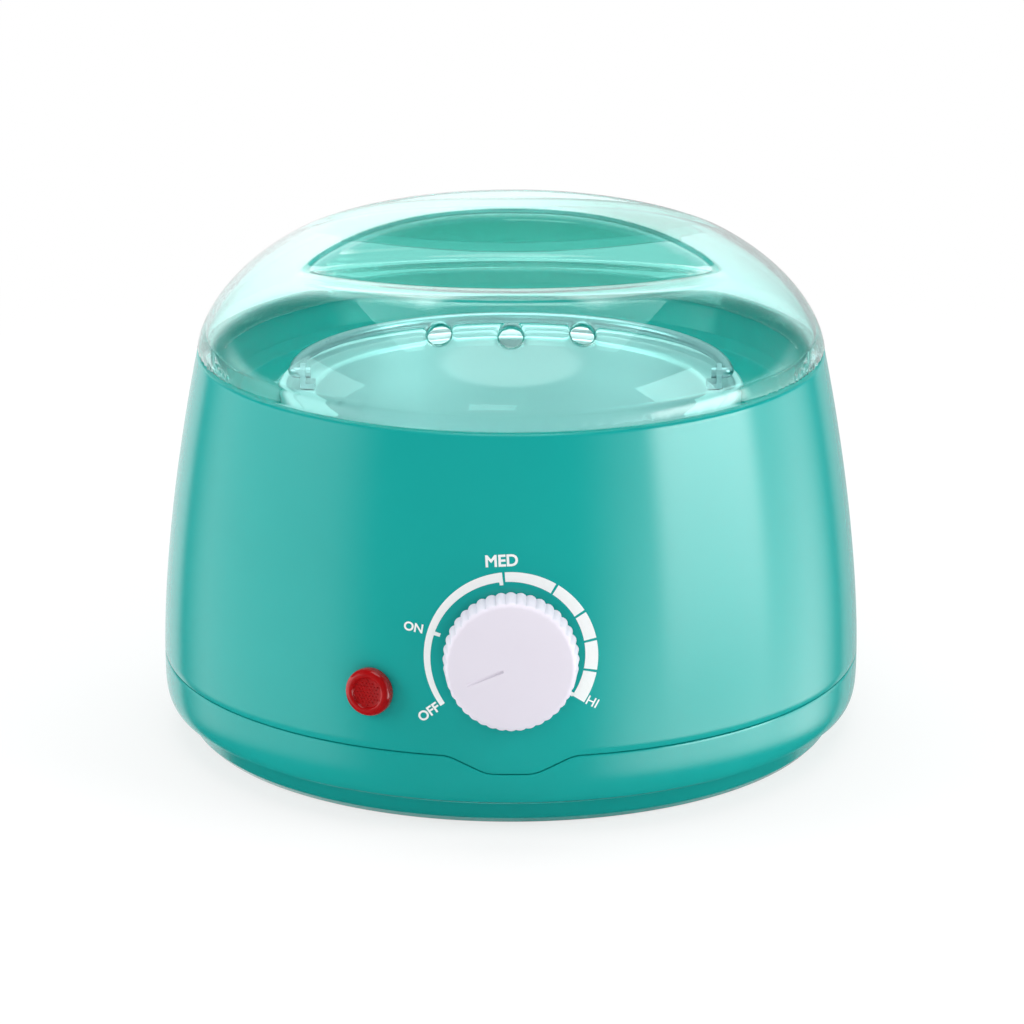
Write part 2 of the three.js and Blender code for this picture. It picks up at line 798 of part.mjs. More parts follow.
function lid() {
  const slope = slopeInset / (deckDrop - slopeFootRise);
  const lipTopRadius = slopeTopRadius - lipClearance;
  const lipFootRadius = lipTopRadius - (lipDrop + seamGap) * slope;
  const lip = turned(
    [
      [lipFootRadius - lipWall, lidZ - lipDrop],
      [lipFootRadius, lidZ - lipDrop],
      [lipTopRadius, lidZ],
      [rimRadius - lidWall / 2, lidZ],
      [rimRadius - lidWall / 2, lidZ + lipRoot],
      [lipTopRadius - lipWall, lidZ + lipRoot],
    ],
    bodySides,
  );
  const scoops = [0, 2].map((turn) => turnedAbout(scoop(0), turn * rightAngle));
  const innerScoops = [0, 2].map((turn) => turnedAbout(scoop(lidWall), turn * rightAngle));
  const outside = cut(solidOf(dome(rimRadius, lidRise, rimZ, lidZ, domeSteps)), ...scoops);
  const inner = dome(rimRadius - lidWall, lidRise - lidWall, rimZ, lidZ - overrun, innerDomeSteps);
  const hollow = cut(solidOf(inner), ...innerScoops);
  const ventRadiusOnDome = rimRadius *
    (1 - (ventRise / lidRise) ** domeTopPower) ** (1 / domeSidePower);
  const ventTurn = Math.asin(ventSpacing / ventRadiusOnDome);
  const vents = [-1, 0, 1].map((side) => vent(side * ventTurn));
  return cut(outside.subtract(hollow).add(solidOf(lip)), ...vents);
}

// Pot, bail and well

function pot() {
  const floorRadius = potRadius - potDraft;
  const outline = [[0, potFloorZ], [floorRadius - potCornerRadius, potFloorZ]];
  const cornerSteps = 3;
  for (let i = 1; i <= cornerSteps; i++) {
    const turn = (rightAngle * i) / cornerSteps;
    outline.push([
      floorRadius - potCornerRadius * (1 - Math.sin(turn)),
      potFloorZ + potCornerRadius * (1 - Math.cos(turn)),
    ]);
  }
  outline.push([potRadius, potFlangeZ]);
  outline.push([potFlangeRadius, potFlangeZ]);
  outline.push([potFlangeRadius, potFlangeZ + potBeadHeight]);
  outline.push([potFlangeRadius - potBeadHeight, potFlangeZ + potBeadHeight]);
  outline.push([potFlangeRadius - potBeadHeight - potWall, potFlangeZ + potWall]);
  outline.push([potRadius - potWall, potFlangeZ + potWall]);
  for (let i = cornerSteps; i >= 1; i--) {
    const turn = (rightAngle * i) / cornerSteps;
    const corner = potCornerRadius - potWall;
    outline.push([
      floorRadius - potWall - corner * (1 - Math.sin(turn)),
      potFloorZ + potWall + corner * (1 - Math.cos(turn)),
    ]);
  }
  outline.push([floorRadius - potCornerRadius, potFloorZ + potWall], [0, potFloorZ + potWall]);
  return turned(outline, wellSides);
}

// An ear stands on the flange beside the bail's end, with a hole for the bail's pin.
function bailEar(side) {
  const footZ = potFlangeZ + potWall + seatGap;
  const rise = bailZ - footZ;
  const plateX = bailRadius - bailWire - holeGap - earThickness;
  const upright = join(
    block(earThickness, earWidth, rise).translate(plateX + earThickness / 2, 0, footZ),
    rod(earWidth / 2, earThickness).rotateY(rightAngle).translate(plateX, 0, bailZ),
    block(bailWire * 2, earWidth, earThickness).translate(plateX - bailWire + weld, 0, footZ),
  );
  const hole = rod(bailWire / 2 + holeGap + weld, earThickness + 2 * overrun)
    .rotateY(rightAngle)
    .translate(plateX - overrun, 0, bailZ);
  return turnedAbout(geometryOf(cut(upright, hole)), side < 0 ? Math.PI : 0);
}

// The bail is a half ring that lies to the rear, with a pin turned in at each end.
function bail() {
  const points = [];
  const steps = 14;
  for (let i = 0; i <= steps; i++) {
    const turn = (Math.PI * i) / steps;
    points.push(new THREE.Vector3(bailRadius * Math.cos(turn), bailRadius * Math.sin(turn), bailZ));
  }
  const hoop = bar(points, bailWire, smallSides / 2, bailWire * 4);
  const pins = [-1, 1].map((side) =>
    rod(bailWire / 2 + weld, bailPinLength + bailWire)
      .translate(0, 0, bailRadius - bailWire - bailPinLength)
      .rotateY(side * rightAngle)
      .translate(0, 0, bailZ),
  );
  const ends = [-1, 1].map((side) =>
    rod(bailWire, 2 * bailWire).rotateX(rightAngle).translate(side * bailRadius, bailWire / 2, bailZ),
  );
  return join(hoop, ...pins, ...ends);
}

function heatingWell() {
  const topZ = deckZ - wellTopDrop;
  const cup = turned(
    [
      [0, wellBottomZ],
      [wellRadius, wellBottomZ],
      [wellRadius, wellFlangeZ],
      [wellFlangeRadius, wellFlangeZ],
      [wellFlangeRadius, wellFlangeTopZ],
      [wellRadius, wellFlangeTopZ],
      [wellRadius, topZ],
      [wellInnerRadius, topZ],
      [wellInnerRadius, wellFloorTopZ],
      [0, wellFloorTopZ],
    ],
    wellSides,
  );
  const holes = bossRing(
    smallScrew.shank + holeGap, wellFlangeThickness + 2 * overrun, wellBossCircle,
    wellFlangeZ - overrun, wellScrewTurns, 0,
  );
  const fuseHole = rod(smallScrew.shank + holeGap, fuseScrewLength - fuseClipThickness + overrun)
    .translate(0, fuseY + fuseScrewOffset, wellBottomZ - overrun);
  return cut(solidOf(cup), ...holes, fuseHole);
}

// Heating

// A ring open at the rear by a slot.
function openRing(innerRadius, outerRadius, height, z, slotOpening) {
  const ring = solidOf(tube(innerRadius, outerRadius, height, wellSides).translate(0, 0, z));
  const slot = block(slotOpening, 2 * outerRadius, height + 2 * overrun)
    .translate(0, 2 * outerRadius, z - overrun);
  return ring.subtract(solidOf(slot));
}

function heaterStrap() {
  const slotHalf = heaterSlot / 2;
  const lugStart = Math.sqrt(strapInnerRadius ** 2 - slotHalf ** 2);
  const ring = openRing(strapInnerRadius, strapRadius, strapHeight, strapZ, heaterSlot);
  const lugs = [-1, 1].map((side) =>
    block(strapThickness, lugLength, strapHeight)
      .translate(side * (slotHalf + strapThickness / 2), lugStart + lugLength / 2, strapZ),
  );
  const hole = rod(strapScrewSize.shank + holeGap, heaterSlot * 2)
    .rotateY(rightAngle)
    .translate(-heaterSlot, strapScrewY, strapZ + strapHeight / 2);
  return cut(lugs.reduce((whole, lug) => whole.add(solidOf(lug)), ring), hole);
}

const strapScrewY = strapRadius + lugLength / 2;
const strapScrewReach = heaterSlot / 2 + strapThickness + seatGap;

function strapScrew() {
  const length = 2 * strapScrewReach + strapNutHeight + overrun;
  return geometryOf(screw(strapScrewSize, length))
    .rotateY(rightAngle)
    .translate(-strapScrewReach, strapScrewY, strapZ + strapHeight / 2);
}

function strapNut() {
  const nut = join(rod(strapNutRadius, strapNutHeight, hexSides));
  const hole = rod(strapScrewSize.shank + holeGap, strapNutHeight + 2 * overrun).translate(0, 0, -overrun);
  return geometryOf(cut(nut, hole))
    .rotateY(rightAngle)
    .translate(strapScrewReach, strapScrewY, strapZ + strapHeight / 2);
}

const heaterTabZ = heaterZ - heaterTabDrop;

function heaterTab(side) {
  return block(heaterTabWidth, heaterTabThickness, heaterTabLength)
    .translate(0, heaterRadius + seatGap + heaterTabThickness / 2, heaterTabZ)
    .rotateZ(-side * heaterTabTurn);
}

function thermalFuse() {
  const leads = 2 * fuseLeadLength + fuseLength;
  return join(
    rod(fuseRadius, fuseLength).rotateY(rightAngle).translate(-fuseLength / 2, fuseY, fuseZ),
    rod(fuseLeadRadius, leads, screwSides).rotateY(rightAngle).translate(-leads / 2, fuseY, fuseZ),
  );
}

// A saddle of strip under the fuse, with one foot that is screwed to the well.
function fuseClip() {
  const inner = fuseRadius + seatGap;
  const outer = inner + fuseClipThickness;
  const top = wellBottomZ - seatGap - fuseZ;
  const shape = new THREE.Shape();
  shape.moveTo(inner, top);
  shape.lineTo(outer + fuseClipFoot, top);
  shape.lineTo(outer + fuseClipFoot, top - fuseClipThickness);
  shape.lineTo(outer, top - fuseClipThickness);
  shape.absarc(0, 0, outer, 0, -Math.PI, true);
  shape.lineTo(-outer, top);
  shape.lineTo(-inner, top);
  shape.absarc(0, 0, inner, Math.PI, fullTurn, false);
  const options = { depth: fuseClipWidth, bevelEnabled: false, curveSegments: smallSides / 2 };
  const strip = new THREE.ExtrudeGeometry(shape, options).translate(0, 0, -fuseClipWidth / 2);
  stoodUp(strip).translate(0, fuseY, fuseZ);
  const hole = rod(smallScrew.shank + holeGap, 2 * overrun + fuseClipThickness)
    .translate(0, fuseY + fuseScrewOffset, wellBottomZ - seatGap - fuseClipThickness - overrun);
  return cut(solidOf(strip), hole);
}

// Dial and thermostat, in the dial's own frame: +Z out of the wall, which is at z = 0

const knobTopZ = knobGap + knobDepth;
const bracketFrontZ = -wall - bracketStandoff - seatGap;
const bracketBackZ = bracketFrontZ - bracketThickness;
const bushBackZ = bracketBackZ - seatGap - bushFlange;
const thermostatFrontZ = bushBackZ - seatGap;
const thermostatBackZ = thermostatFrontZ - thermostatDepth;
const shaftBoreTopZ = knobTopZ - knobRoof;

// The outside is fluted by drawing every second line of its turned surface inwards.
function knobOutside() {
  const outline = [
    [0, knobGap],
    [knobRadius, knobGap],
    [knobFaceRadius, knobTopZ - knobEdge],
    [knobFaceRadius - knobEdge / 2, knobTopZ - knobEdge / 3],
    [knobFaceRadius - knobEdge, knobTopZ],
    [0, knobTopZ + knobCrown],
  ];
  const geometry = turned(outline, 2 * knobFlutes);
  const place = geometry.getAttribute("position");
  const fluteStart = knobFaceRadius - knobEdge / 4;
  for (let i = 0; i < place.count; i++) {
    const radius = Math.hypot(place.getX(i), place.getY(i));
    if (radius < fluteStart) continue;
    const turn = Math.atan2(place.getY(i), place.getX(i));
    const scale = 1 - (fluteDepth / radius) * (0.5 - 0.5 * Math.cos(knobFlutes * turn));
    place.setXY(i, place.getX(i) * scale, place.getY(i) * scale);
  }
  return geometry;
}

// Space between the knob's skirt and its hub.
function knobHollow() {
  const hubRadius = shaftBore + hubWall;
  const roofZ = knobTopZ - knobRoof;
  return turned(
    [
      [0, knobGap - overrun],
      [knobRadius - knobWall, knobGap - overrun],
      [knobFaceRadius - knobWall, roofZ],
      [hubRadius, roofZ],
      [hubRadius, knobGap + hubRise],
      [0, knobGap + hubRise],
    ],
    wellSides,
  );
}

function knob() {
  const bore = rod(shaftBore, shaftBoreTopZ, holeSides);
  const groove = block(pointerEnd - pointerStart, pointerWidth, knobCrown + pointerDepth + overrun)
    .translate((pointerStart + pointerEnd) / 2, 0, knobTopZ - pointerDepth)
    .rotateZ(pointerTurn);
  return cut(solidOf(knobOutside()), knobHollow(), bore, groove);
}

function thermostatShaft() {
  const tip = shaftBoreTopZ - shaftTipGap;
  const back = thermostatFrontZ - thermostatDepth / 2;
  const shaft = rod(shaftRadius, tip - back, holeSides).translate(0, 0, back);
  const flat = block(2 * shaftRadius + overrun, shaftRadius, shaftFlatLength + overrun)
    .translate(0, shaftRadius * 1.5 - shaftFlat, tip - shaftFlatLength);
  return cut(solidOf(shaft), flat);
}

function knobClip() {
  const tip = shaftBoreTopZ - shaftTipGap;
  return block(clipWidth, clipThickness, clipLength).translate(
    0,
    shaftRadius - shaftFlat + seatGap / 2 + clipThickness / 2,
    tip - clipLength,
  );
}

function thermostatBracket() {
  const front = block(bracketWidth, bracketHeight, bracketThickness).translate(0, 0, bracketBackZ);
  const lipY = thermostatHeight / 2 + seatGap + bracketThickness / 2;
  const lips = [-1, 1].flatMap((side) => [
    block(thermostatWidth / 2, bracketThickness, bracketLip + bracketThickness)
      .translate(0, side * lipY, bracketFrontZ - bracketLip - bracketThickness),
    block(thermostatWidth / 2, lipY - bracketHeight / 2 + weld, bracketThickness)
      .translate(0, (side * (lipY + bracketHeight / 2)) / 2, bracketBackZ),
  ]);
  const bushHole = rod(bushRadius + holeGap, bracketThickness + 2 * overrun, holeSides)
    .translate(0, 0, bracketBackZ - overrun);
  const screwHoles = [-1, 1].map((side) =>
    rod(smallScrew.shank + holeGap, bracketThickness + 2 * overrun)
      .translate(side * bracketScrewX, 0, bracketBackZ - overrun),
  );
  return cut(join(front, ...lips), bushHole, ...screwHoles);
}

function thermostatBush() {
  return turned(
    [
      [shaftBore, bushBackZ],
      [bushFlangeRadius, bushBackZ],
      [bushFlangeRadius, bushBackZ + bushFlange],
      [bushRadius, bushBackZ + bushFlange],
      [bushRadius, -wall - bushFront],
      [shaftBore, -wall - bushFront],
    ],
    holeSides,
  );
}

function thermostatNut() {
  const nut = join(rod(nutRadius, nutHeight, hexSides).translate(0, 0, bracketFrontZ + seatGap));
  const hole = rod(bushRadius + holeGap, nutHeight + 2 * overrun, holeSides)
    .translate(0, 0, bracketFrontZ + seatGap - overrun);
  return cut(nut, hole);
}

function thermostatBody() {
  const body = block(thermostatWidth, thermostatHeight, thermostatDepth).translate(0, 0, thermostatBackZ);
  const bore = rod(shaftBore, thermostatDepth / 2 + seatGap + overrun, holeSides)
    .translate(0, 0, thermostatFrontZ - thermostatDepth / 2 - seatGap);
  const waist = [-1, 1].map((side) =>
    block(leafWidth, overrun * 2, thermostatDepth / 3)
      .translate((side * thermostatWidth) / 2, 0, thermostatBackZ + thermostatDepth / 3),
  );
  return cut(solidOf(body), bore, ...waist);
}

// A strip that is fixed at its foot, steps away from the body and runs along it.
function leaf(width, startZ, rise) {
  const half = leafLength / 2;
  const strip = plate(
    [
      [-half, 0],
      [-half + leafFoot, 0],
      [-half + leafFoot + rise, -rise],
      [half, -rise],
      [half, -rise - leafThickness],
      [-half + leafFoot + rise - leafThickness / 2, -rise - leafThickness],
      [-half + leafFoot - leafThickness / 2, -leafThickness],
      [-half, -leafThickness],
    ],
    width,
  );
  return stoodUp(strip.translate(0, 0, -width / 2)).translate(0, 0, startZ);
}

const terminalTopY = -thermostatHeight / 2 - seatGap;
const terminalZ = thermostatBackZ + terminalInset;

function thermostatTerminal(side) {
  return block(terminalWidth, terminalLength, terminalThickness).translate(
    side * terminalX,
    terminalTopY - terminalLength / 2,
    terminalZ,
  );
}

// Indicator lamp, in its own frame: +Z out of the wall, which is at z = 0

function indicatorLens() {
  const inner = lensBarrelRadius - lensWall;
  return turned(
    [
      [0, lensFlange],
      [inner, lensFlange / 2],
      [inner, -lensBarrelLength],
      [lensBarrelRadius, -lensBarrelLength],
      [lensBarrelRadius, seatGap],
      [lensRadius, seatGap],
      [lensRadius, lensFlange],
      [lensRadius - lensFlange / 2, lensProud - lensFlange / 2],
      [lensFaceRadius, lensProud],
      [0, lensProud],
    ],
    holeSides,
  );
}

function lampClip() {
  const outer = lensBarrelRadius + lampClipWidth;
  const behind = wall + wallSag(wallRadiusAt(lampZ) - wall, outer) + seatGap;
  return tube(lensBarrelRadius + holeGap, outer, lampClipThickness, holeSides)
    .translate(0, 0, -behind - lampClipThickness);
}

const bulbTipZ = -bulbTipGap;
const bulbBackZ = bulbTipZ - bulbLength;

function neonBulb() {
  const radius = lensBarrelRadius - lensWall - bulbClearance;
  const glass = turned(
    [
      [0, bulbBackZ],
      [radius, bulbBackZ],
      [radius, bulbTipZ - radius / 2],
      [radius / 2, bulbTipZ],
      [0, bulbTipZ],
    ],
    smallSides,
  );
  const leads = [-1, 1].map((side) =>
    rod(lampLeadRadius, lampLeadLength + weld, wireSides)
      .translate(side * lampLeadSpread, 0, bulbBackZ - lampLeadLength),
  );
  return join(glass, ...leads);
}

function lampResistor() {
  return rod(resistorRadius, resistorLength, screwSides)
    .translate(lampLeadSpread, 0, bulbBackZ - lampLeadLength - seatGap - resistorLength);
}

// Terminal block

function terminalBlock() {
  const body = block(blockWidth, blockDepth, blockHeight).translate(0, blockY, blockZ);
  const bores = [-1, 1].map((side) =>
    rod(poleBore, blockDepth + 2 * overrun)
      .rotateX(-rightAngle)
      .translate((side * poleSpacing) / 2, blockY - blockDepth / 2 - overrun, poleZ),
  );
  const clampHoles = clampPlaces().map(([x, y]) =>
    rod(clampScrewRadius + holeGap, blockHeight, screwSides).translate(x, y, poleZ),
  );
  const fixing = rod(smallScrew.shank + holeGap, blockHeight + 2 * overrun)
    .translate(0, blockY, blockZ - overrun);
  const sink = rod(smallScrew.head + holeGap, blockScrewSink + overrun)
    .translate(0, blockY, blockZ + blockHeight - blockScrewSink);
  return cut(solidOf(body), ...bores, ...clampHoles, fixing, sink);
}

function clampPlaces() {
  return [-1, 1].flatMap((side) =>
    [-1, 1].map((end) => [(side * poleSpacing) / 2, blockY + end * (blockDepth / 2 - clampScrewInset)]),
  );
}

function clampScrew() {
  const head = rod(clampScrewRadius, clampScrewLength, screwSides);
  const slot = block(2 * clampScrewRadius + overrun, smallScrew.slot, smallScrew.slot + overrun)
    .translate(0, 0, clampScrewLength - smallScrew.slot);
  return cut(solidOf(head), slot);
}

// The fixing screw enters from above.
function blockScrew() {
  const seatZ = blockZ + blockHeight - blockScrewSink + seatGap;
  const length = seatZ - floorTopZ - blockPillarHeight + blockScrewBite;
  return geometryOf(screw(smallScrew, length)).rotateX(Math.PI).translate(0, blockY, seatZ);
}

// Wires

// Places along a turn round the axis, in level steps.
function roundTheAxis(fromTurn, toTurn, radius, z) {
  const arcStep = 20 * degrees;
  const count = Math.max(2, Math.round(Math.abs(toTurn - fromTurn) / arcStep));
  return Array.from({ length: count + 1 }, (_, i) => {
    const turn = fromTurn + ((toTurn - fromTurn) * i) / count;
    return new THREE.Vector3(radius * Math.cos(turn), radius * Math.sin(turn), z);
  });
}

// A wire's end and the point where it starts to bend.
function wireEnd(end, direction, lead = wireLead) {
  return [end, end.clone().addScaledVector(direction, lead)];
}

function poleEnd(side, aside) {
  const end = new THREE.Vector3(side * (poleSpacing / 2) + aside, poleFaceY + clampScrewInset, poleZ);
  return wireEnd(end, new THREE.Vector3(0, -1, 0), poleLead);
}

function terminalEnd(side, aside) {
  const down = new THREE.Vector3(0, -1, 0).transformDirection(dialPlace);
  const end = new THREE.Vector3(
    side * terminalX + aside,
    terminalTopY - terminalLength - seatGap,
    terminalZ + terminalThickness / 2,
  );
  return wireEnd(end.applyMatrix4(dialPlace), down);
}

function heaterTabEnd(side, aside) {
  const endY = heaterRadius + seatGap + heaterTabThickness / 2;
  const end = new THREE.Vector3(aside, endY, heaterTabZ - seatGap);
  end.applyAxisAngle(new THREE.Vector3(0, 0, 1), -side * heaterTabTurn);
  return wireEnd(end, new THREE.Vector3(0, 0, -1));
}

function fuseEnd(side) {
  const end = new THREE.Vector3(side * (fuseLength / 2 + fuseLeadLength + seatGap), fuseY, fuseZ);
  return wireEnd(end, new THREE.Vector3(side, 0, 0));
}

function lampEnd(side, length) {
  const back = new THREE.Vector3(0, 0, -1).transformDirection(lampPlace);
  const end = new THREE.Vector3(side * lampLeadSpread, 0, bulbBackZ - lampLeadLength - length - seatGap);
  return wireEnd(end.applyMatrix4(lampPlace), back);
}

// From the live pole, under the well, to the thermostat.
function liveWire() {
  const [start, out] = poleEnd(1, 0);
  const [end, before] = terminalEnd(1, 0);
  const arc = roundTheAxis(liveWireTurn, -liveWireTurn, innerWireCircle, innerWireZ);
  return bar([start, out, ...arc, before, end], wireRadius, wireSides, wireStep);
}

// From the thermostat round the well to the heater's first tab.
function switchedWire() {
  const [start, out] = terminalEnd(-1, terminalWidth / 4);
  const [end, before] = heaterTabEnd(-1, heaterTabWidth / 4);
  const arc = roundTheAxis(...switchedWireTurns, outerWireCircle, outerWireZ);
  return bar([start, out, ...arc, before, end], wireRadius, wireSides, wireStep);
}

// From the neutral pole to the fuse.
function neutralWire() {
  const [start, out] = poleEnd(-1, -polePairShift);
  const [end, before] = fuseEnd(-1);
  return bar([start, out, before, end], wireRadius, wireSides, wireStep / 2);
}

// From the fuse to the heater's second tab.
function fusedWire() {
  const [start, out] = fuseEnd(1);
  const [end, before] = heaterTabEnd(1, 0);
  const between = out.clone().lerp(before, 0.5);
  between.z = outerWireZ + wireSpacing;
  return bar([start, out, between, before, end], wireRadius, wireSides, wireStep / 2);
}

// From the resistor to the switched side of the thermostat.
function lampSwitchedWire() {
  const [start, out] = lampEnd(1, resistorLength + seatGap);
  const [end, before] = terminalEnd(-1, -terminalWidth / 4 - wireRadius / 2);
  return bar([start, out, before, end], lampWireRadius, wireSides, wireStep / 2);
}

// From the bulb, under the well, to the neutral pole.
function lampNeutralWire() {
  const [start, out] = lampEnd(-1, 0);
  const [end, before] = poleEnd(-1, polePairShift);
  const drop = new THREE.Vector3(0, wireSpacing - outerWireCircle, outerWireZ + wireSpacing);
  drop.applyAxisAngle(new THREE.Vector3(0, 0, 1), lampTurn);
  const arc = roundTheAxis(...lampWireTurns, innerWireCircle + wireSpacing, innerWireZ);
  return bar([start, out, drop, ...arc, before, end], lampWireRadius, wireSides, wireStep);
}

// The whole warmer

const warmer = new THREE.Group();
warmer.name = "wax_warmer";

// Adds pieces to the warmer, all in one place. Entries are [name, shape, finish].
function add(place, entries) {
  const group = new THREE.Group();
  group.applyMatrix4(place);
  entries.forEach(([name, shape, finish]) => group.add(piece(name, shape, finish)));
  warmer.add(group);
}

// Adds one copy of a piece at each place of a ring, numbered from 1.
function addRing(name, makeShape, finish, circle, z, turns, offset) {
  turns.forEach((turn) => {
    const mesh = piece(name + "_" + (turn + 1), makeShape(), finish);
    const angle = (turn + offset) * rightAngle;
    mesh.position.set(circle * Math.cos(angle), circle * Math.sin(angle), z);
    mesh.rotation.z = angle;
    warmer.add(mesh);
  });
}

const upright = new THREE.Matrix4();

add(upright, [
  ["upper_housing", upperHousing(), "tealPlastic"],
  ["base_shell", baseShell(), "tealPlastic"],
  ["lid", lid(), "clearTeal"],
  ["pot", pot(), "aluminium"],
  ["bail_ear_right", bailEar(1), "steel"],
  ["bail_ear_left", bailEar(-1), "steel"],
  ["bail", bail(), "steel"],
  ["heating_well", heatingWell(), "aluminium"],
  ["heater_band", openRing(heaterInnerRadius, heaterRadius, heaterHeight, heaterZ, heaterSlot), "mica"],
  ["heater_strap", heaterStrap(), "steel"],
  ["strap_screw", strapScrew(), "steel"],
  ["strap_nut", strapNut(), "steel"],
  ["heater_tab_right", heaterTab(1), "brass"],
  ["heater_tab_left", heaterTab(-1), "brass"],
  ["thermal_fuse", thermalFuse(), "fuseSleeve"],
  ["fuse_clip", fuseClip(), "steel"],
  ["cord_gland", cordGland(), "blackPlastic"],
  ["gland_nut", glandNut(), "blackPlastic"],
  ["terminal_block", terminalBlock(), "ceramic"],
  ["block_screw", blockScrew(), "steel"],
  ["wire_live", liveWire(), "brownWire"],
  ["wire_switched", switchedWire(), "brownWire"],
  ["wire_neutral", neutralWire(), "blueWire"],
  ["wire_fused", fusedWire(), "blueWire"],
  ["wire_lamp_switched", lampSwitchedWire(), "whiteWire"],
  ["wire_lamp_neutral", lampNeutralWire(), "whiteWire"],
]);

const fuseScrew = piece("fuse_screw", screw(smallScrew, fuseScrewLength), "steel");
fuseScrew.position.set(0, fuseY + fuseScrewOffset, wellBottomZ - 2 * seatGap - fuseClipThickness);
warmer.add(fuseScrew);

clampPlaces().forEach(([x, y], i) => {
  const mesh = piece("clamp_screw_" + (i + 1), clampScrew(), "brass");
  mesh.position.set(x, y, blockZ + blockHeight - seatGap - clampScrewLength);
  warmer.add(mesh);
});

addRing("rubber_foot", rubberFoot, "rubber", footCircle, 0, postTurns, 0);
addRing("base_screw", () => screw(bodyScrew, bodyScrewLength), "steel", postCircle,
  headSeatZ - seatGap, postTurns, 0.5);
addRing("well_screw", () => screw(smallScrew, wellScrewLength), "steel", wellBossCircle,
  wellFlangeZ - seatGap, wellScrewTurns, 0);

add(dialPlace, [
  ["knob", knob(), "whitePlastic"],
  ["knob_clip", knobClip(), "steel"],
  ["thermostat_shaft", thermostatShaft(), "brass"],
  ["thermostat_bush", thermostatBush(), "brass"],
  ["thermostat_nut", thermostatNut(), "brass"],
  ["thermostat_bracket", thermostatBracket(), "steel"],
  ["thermostat_body", thermostatBody(), "ceramic"],
  ["bimetal_strip", leaf(leafWidth, thermostatBackZ - seatGap, leafRise), "brass"],
  ["contact_strip", leaf(contactWidth, thermostatBackZ - seatGap - leafSpacing, leafRise), "brass"],
  ["terminal_right", thermostatTerminal(1), "brass"],
  ["terminal_left", thermostatTerminal(-1), "brass"],
]);

[-1, 1].forEach((side) => {
  const shape = geometryOf(screw(smallScrew, bracketScrewLength))
    .translate(side * bracketScrewX, 0, bracketBackZ - seatGap);
  add(dialPlace, [["bracket_screw_" + (side < 0 ? "left" : "right"), shape, "steel"]]);
});

add(lampPlace, [
  ["indicator_lens", indicatorLens(), "redLens"],
  ["lamp_clip", lampClip(), "steel"],
  ["neon_bulb", neonBulb(), "glass"],
  ["lamp_resistor", lampResistor(), "resistorBody"],
]);

export default warmer;
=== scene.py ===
import itertools
import json
import math
from collections import Counter

import bpy
import numpy as np
from mathutils import Matrix, Vector


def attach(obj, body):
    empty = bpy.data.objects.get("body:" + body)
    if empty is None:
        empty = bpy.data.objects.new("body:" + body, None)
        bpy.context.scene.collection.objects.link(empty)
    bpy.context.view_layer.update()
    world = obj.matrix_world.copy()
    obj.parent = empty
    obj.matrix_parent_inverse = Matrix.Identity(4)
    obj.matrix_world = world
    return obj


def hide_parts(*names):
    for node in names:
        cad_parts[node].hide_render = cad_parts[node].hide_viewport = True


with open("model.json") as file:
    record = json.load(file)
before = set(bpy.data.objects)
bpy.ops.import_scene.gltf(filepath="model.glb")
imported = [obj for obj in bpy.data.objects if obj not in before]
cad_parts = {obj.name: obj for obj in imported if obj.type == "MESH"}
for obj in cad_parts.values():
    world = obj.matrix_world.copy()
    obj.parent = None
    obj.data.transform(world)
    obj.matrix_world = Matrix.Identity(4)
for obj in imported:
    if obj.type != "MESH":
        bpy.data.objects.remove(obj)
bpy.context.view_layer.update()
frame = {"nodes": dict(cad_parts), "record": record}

MM = 0.001
TURN = 2 * math.pi
WELD_GAP = 0.002

# Casing
SEAM_RADIUS = 92.5
CREASE_RADIUS = 87.6
FOOT_RADIUS = 84.1
RIM_RADIUS = 82.5
BASE_Z = 0.5
CREASE_Z = 7.3
SEAM_Z = 20.9
RIM_Z = 101.9
DECK_Z = 89.4
WALL = 2.4
TAPER_POWER = 1.68
BULGE_POWER = 3.85
SLOPE_TOP_RADIUS = 80.1
SLOPE_FOOT_RADIUS = 74.8
SLOPE_FOOT_Z = 92.0
DECK_CORNER = 2.3
DECK_OPENING = 57.9
SEAM_GAP = 0.18
BASE_TOP_Z = SEAM_Z - SEAM_GAP
SEAM_CHAMFER = 0.35
SEAM_EASE = 0.1
TONGUE_RADIUS = 89.8
TONGUE_Z = 24.0
FLOOR_Z = 2.1
FLOOR_TOP_Z = 4.3
BULGE_FOOT_Z = CREASE_Z + 1.2
INNER_WALL_TOP_Z = RIM_Z - 3.2
CASING_SIDES = 384
WALL_STEPS = 44
INNER_WALL_STEPS = 12
BULGE_STEPS = 22

# What the base carries
BOSS_CIRCLE = 75
BOSS_RADIUS = 5.6
SCREW_HEAD_RADIUS = 3.7
SCREW_SHANK_RADIUS = 2.0
FOOT_CIRCLE = 68
FOOT_HOLE_RADIUS = 2.7
AIR_SLOTS = 8
AIR_SLOT_SIZE = (16, 3, 6)
AIR_SLOT_PLACE = (34, 0, 3.2)
AIR_SLOT_ROUND = 1.4
GLAND_Z = 12
GLAND_FACE = 93
GLAND_BORE_RADIUS = 5.3
PAD_RADIUS = 7.8
PAD_FOOT = 84
PAD_DEPTH = 9

# Tab of the upper casing that dips into the base below the dial
TAB_HALF = 15.7
TAB_FOOT_HALF = 6.0
TAB_DEPTH = 4.5
TAB_BLEND = 1.6
TAB_HOLD_Z = SEAM_Z + 16
TAB_HOLD_BELOW_Z = 9.0

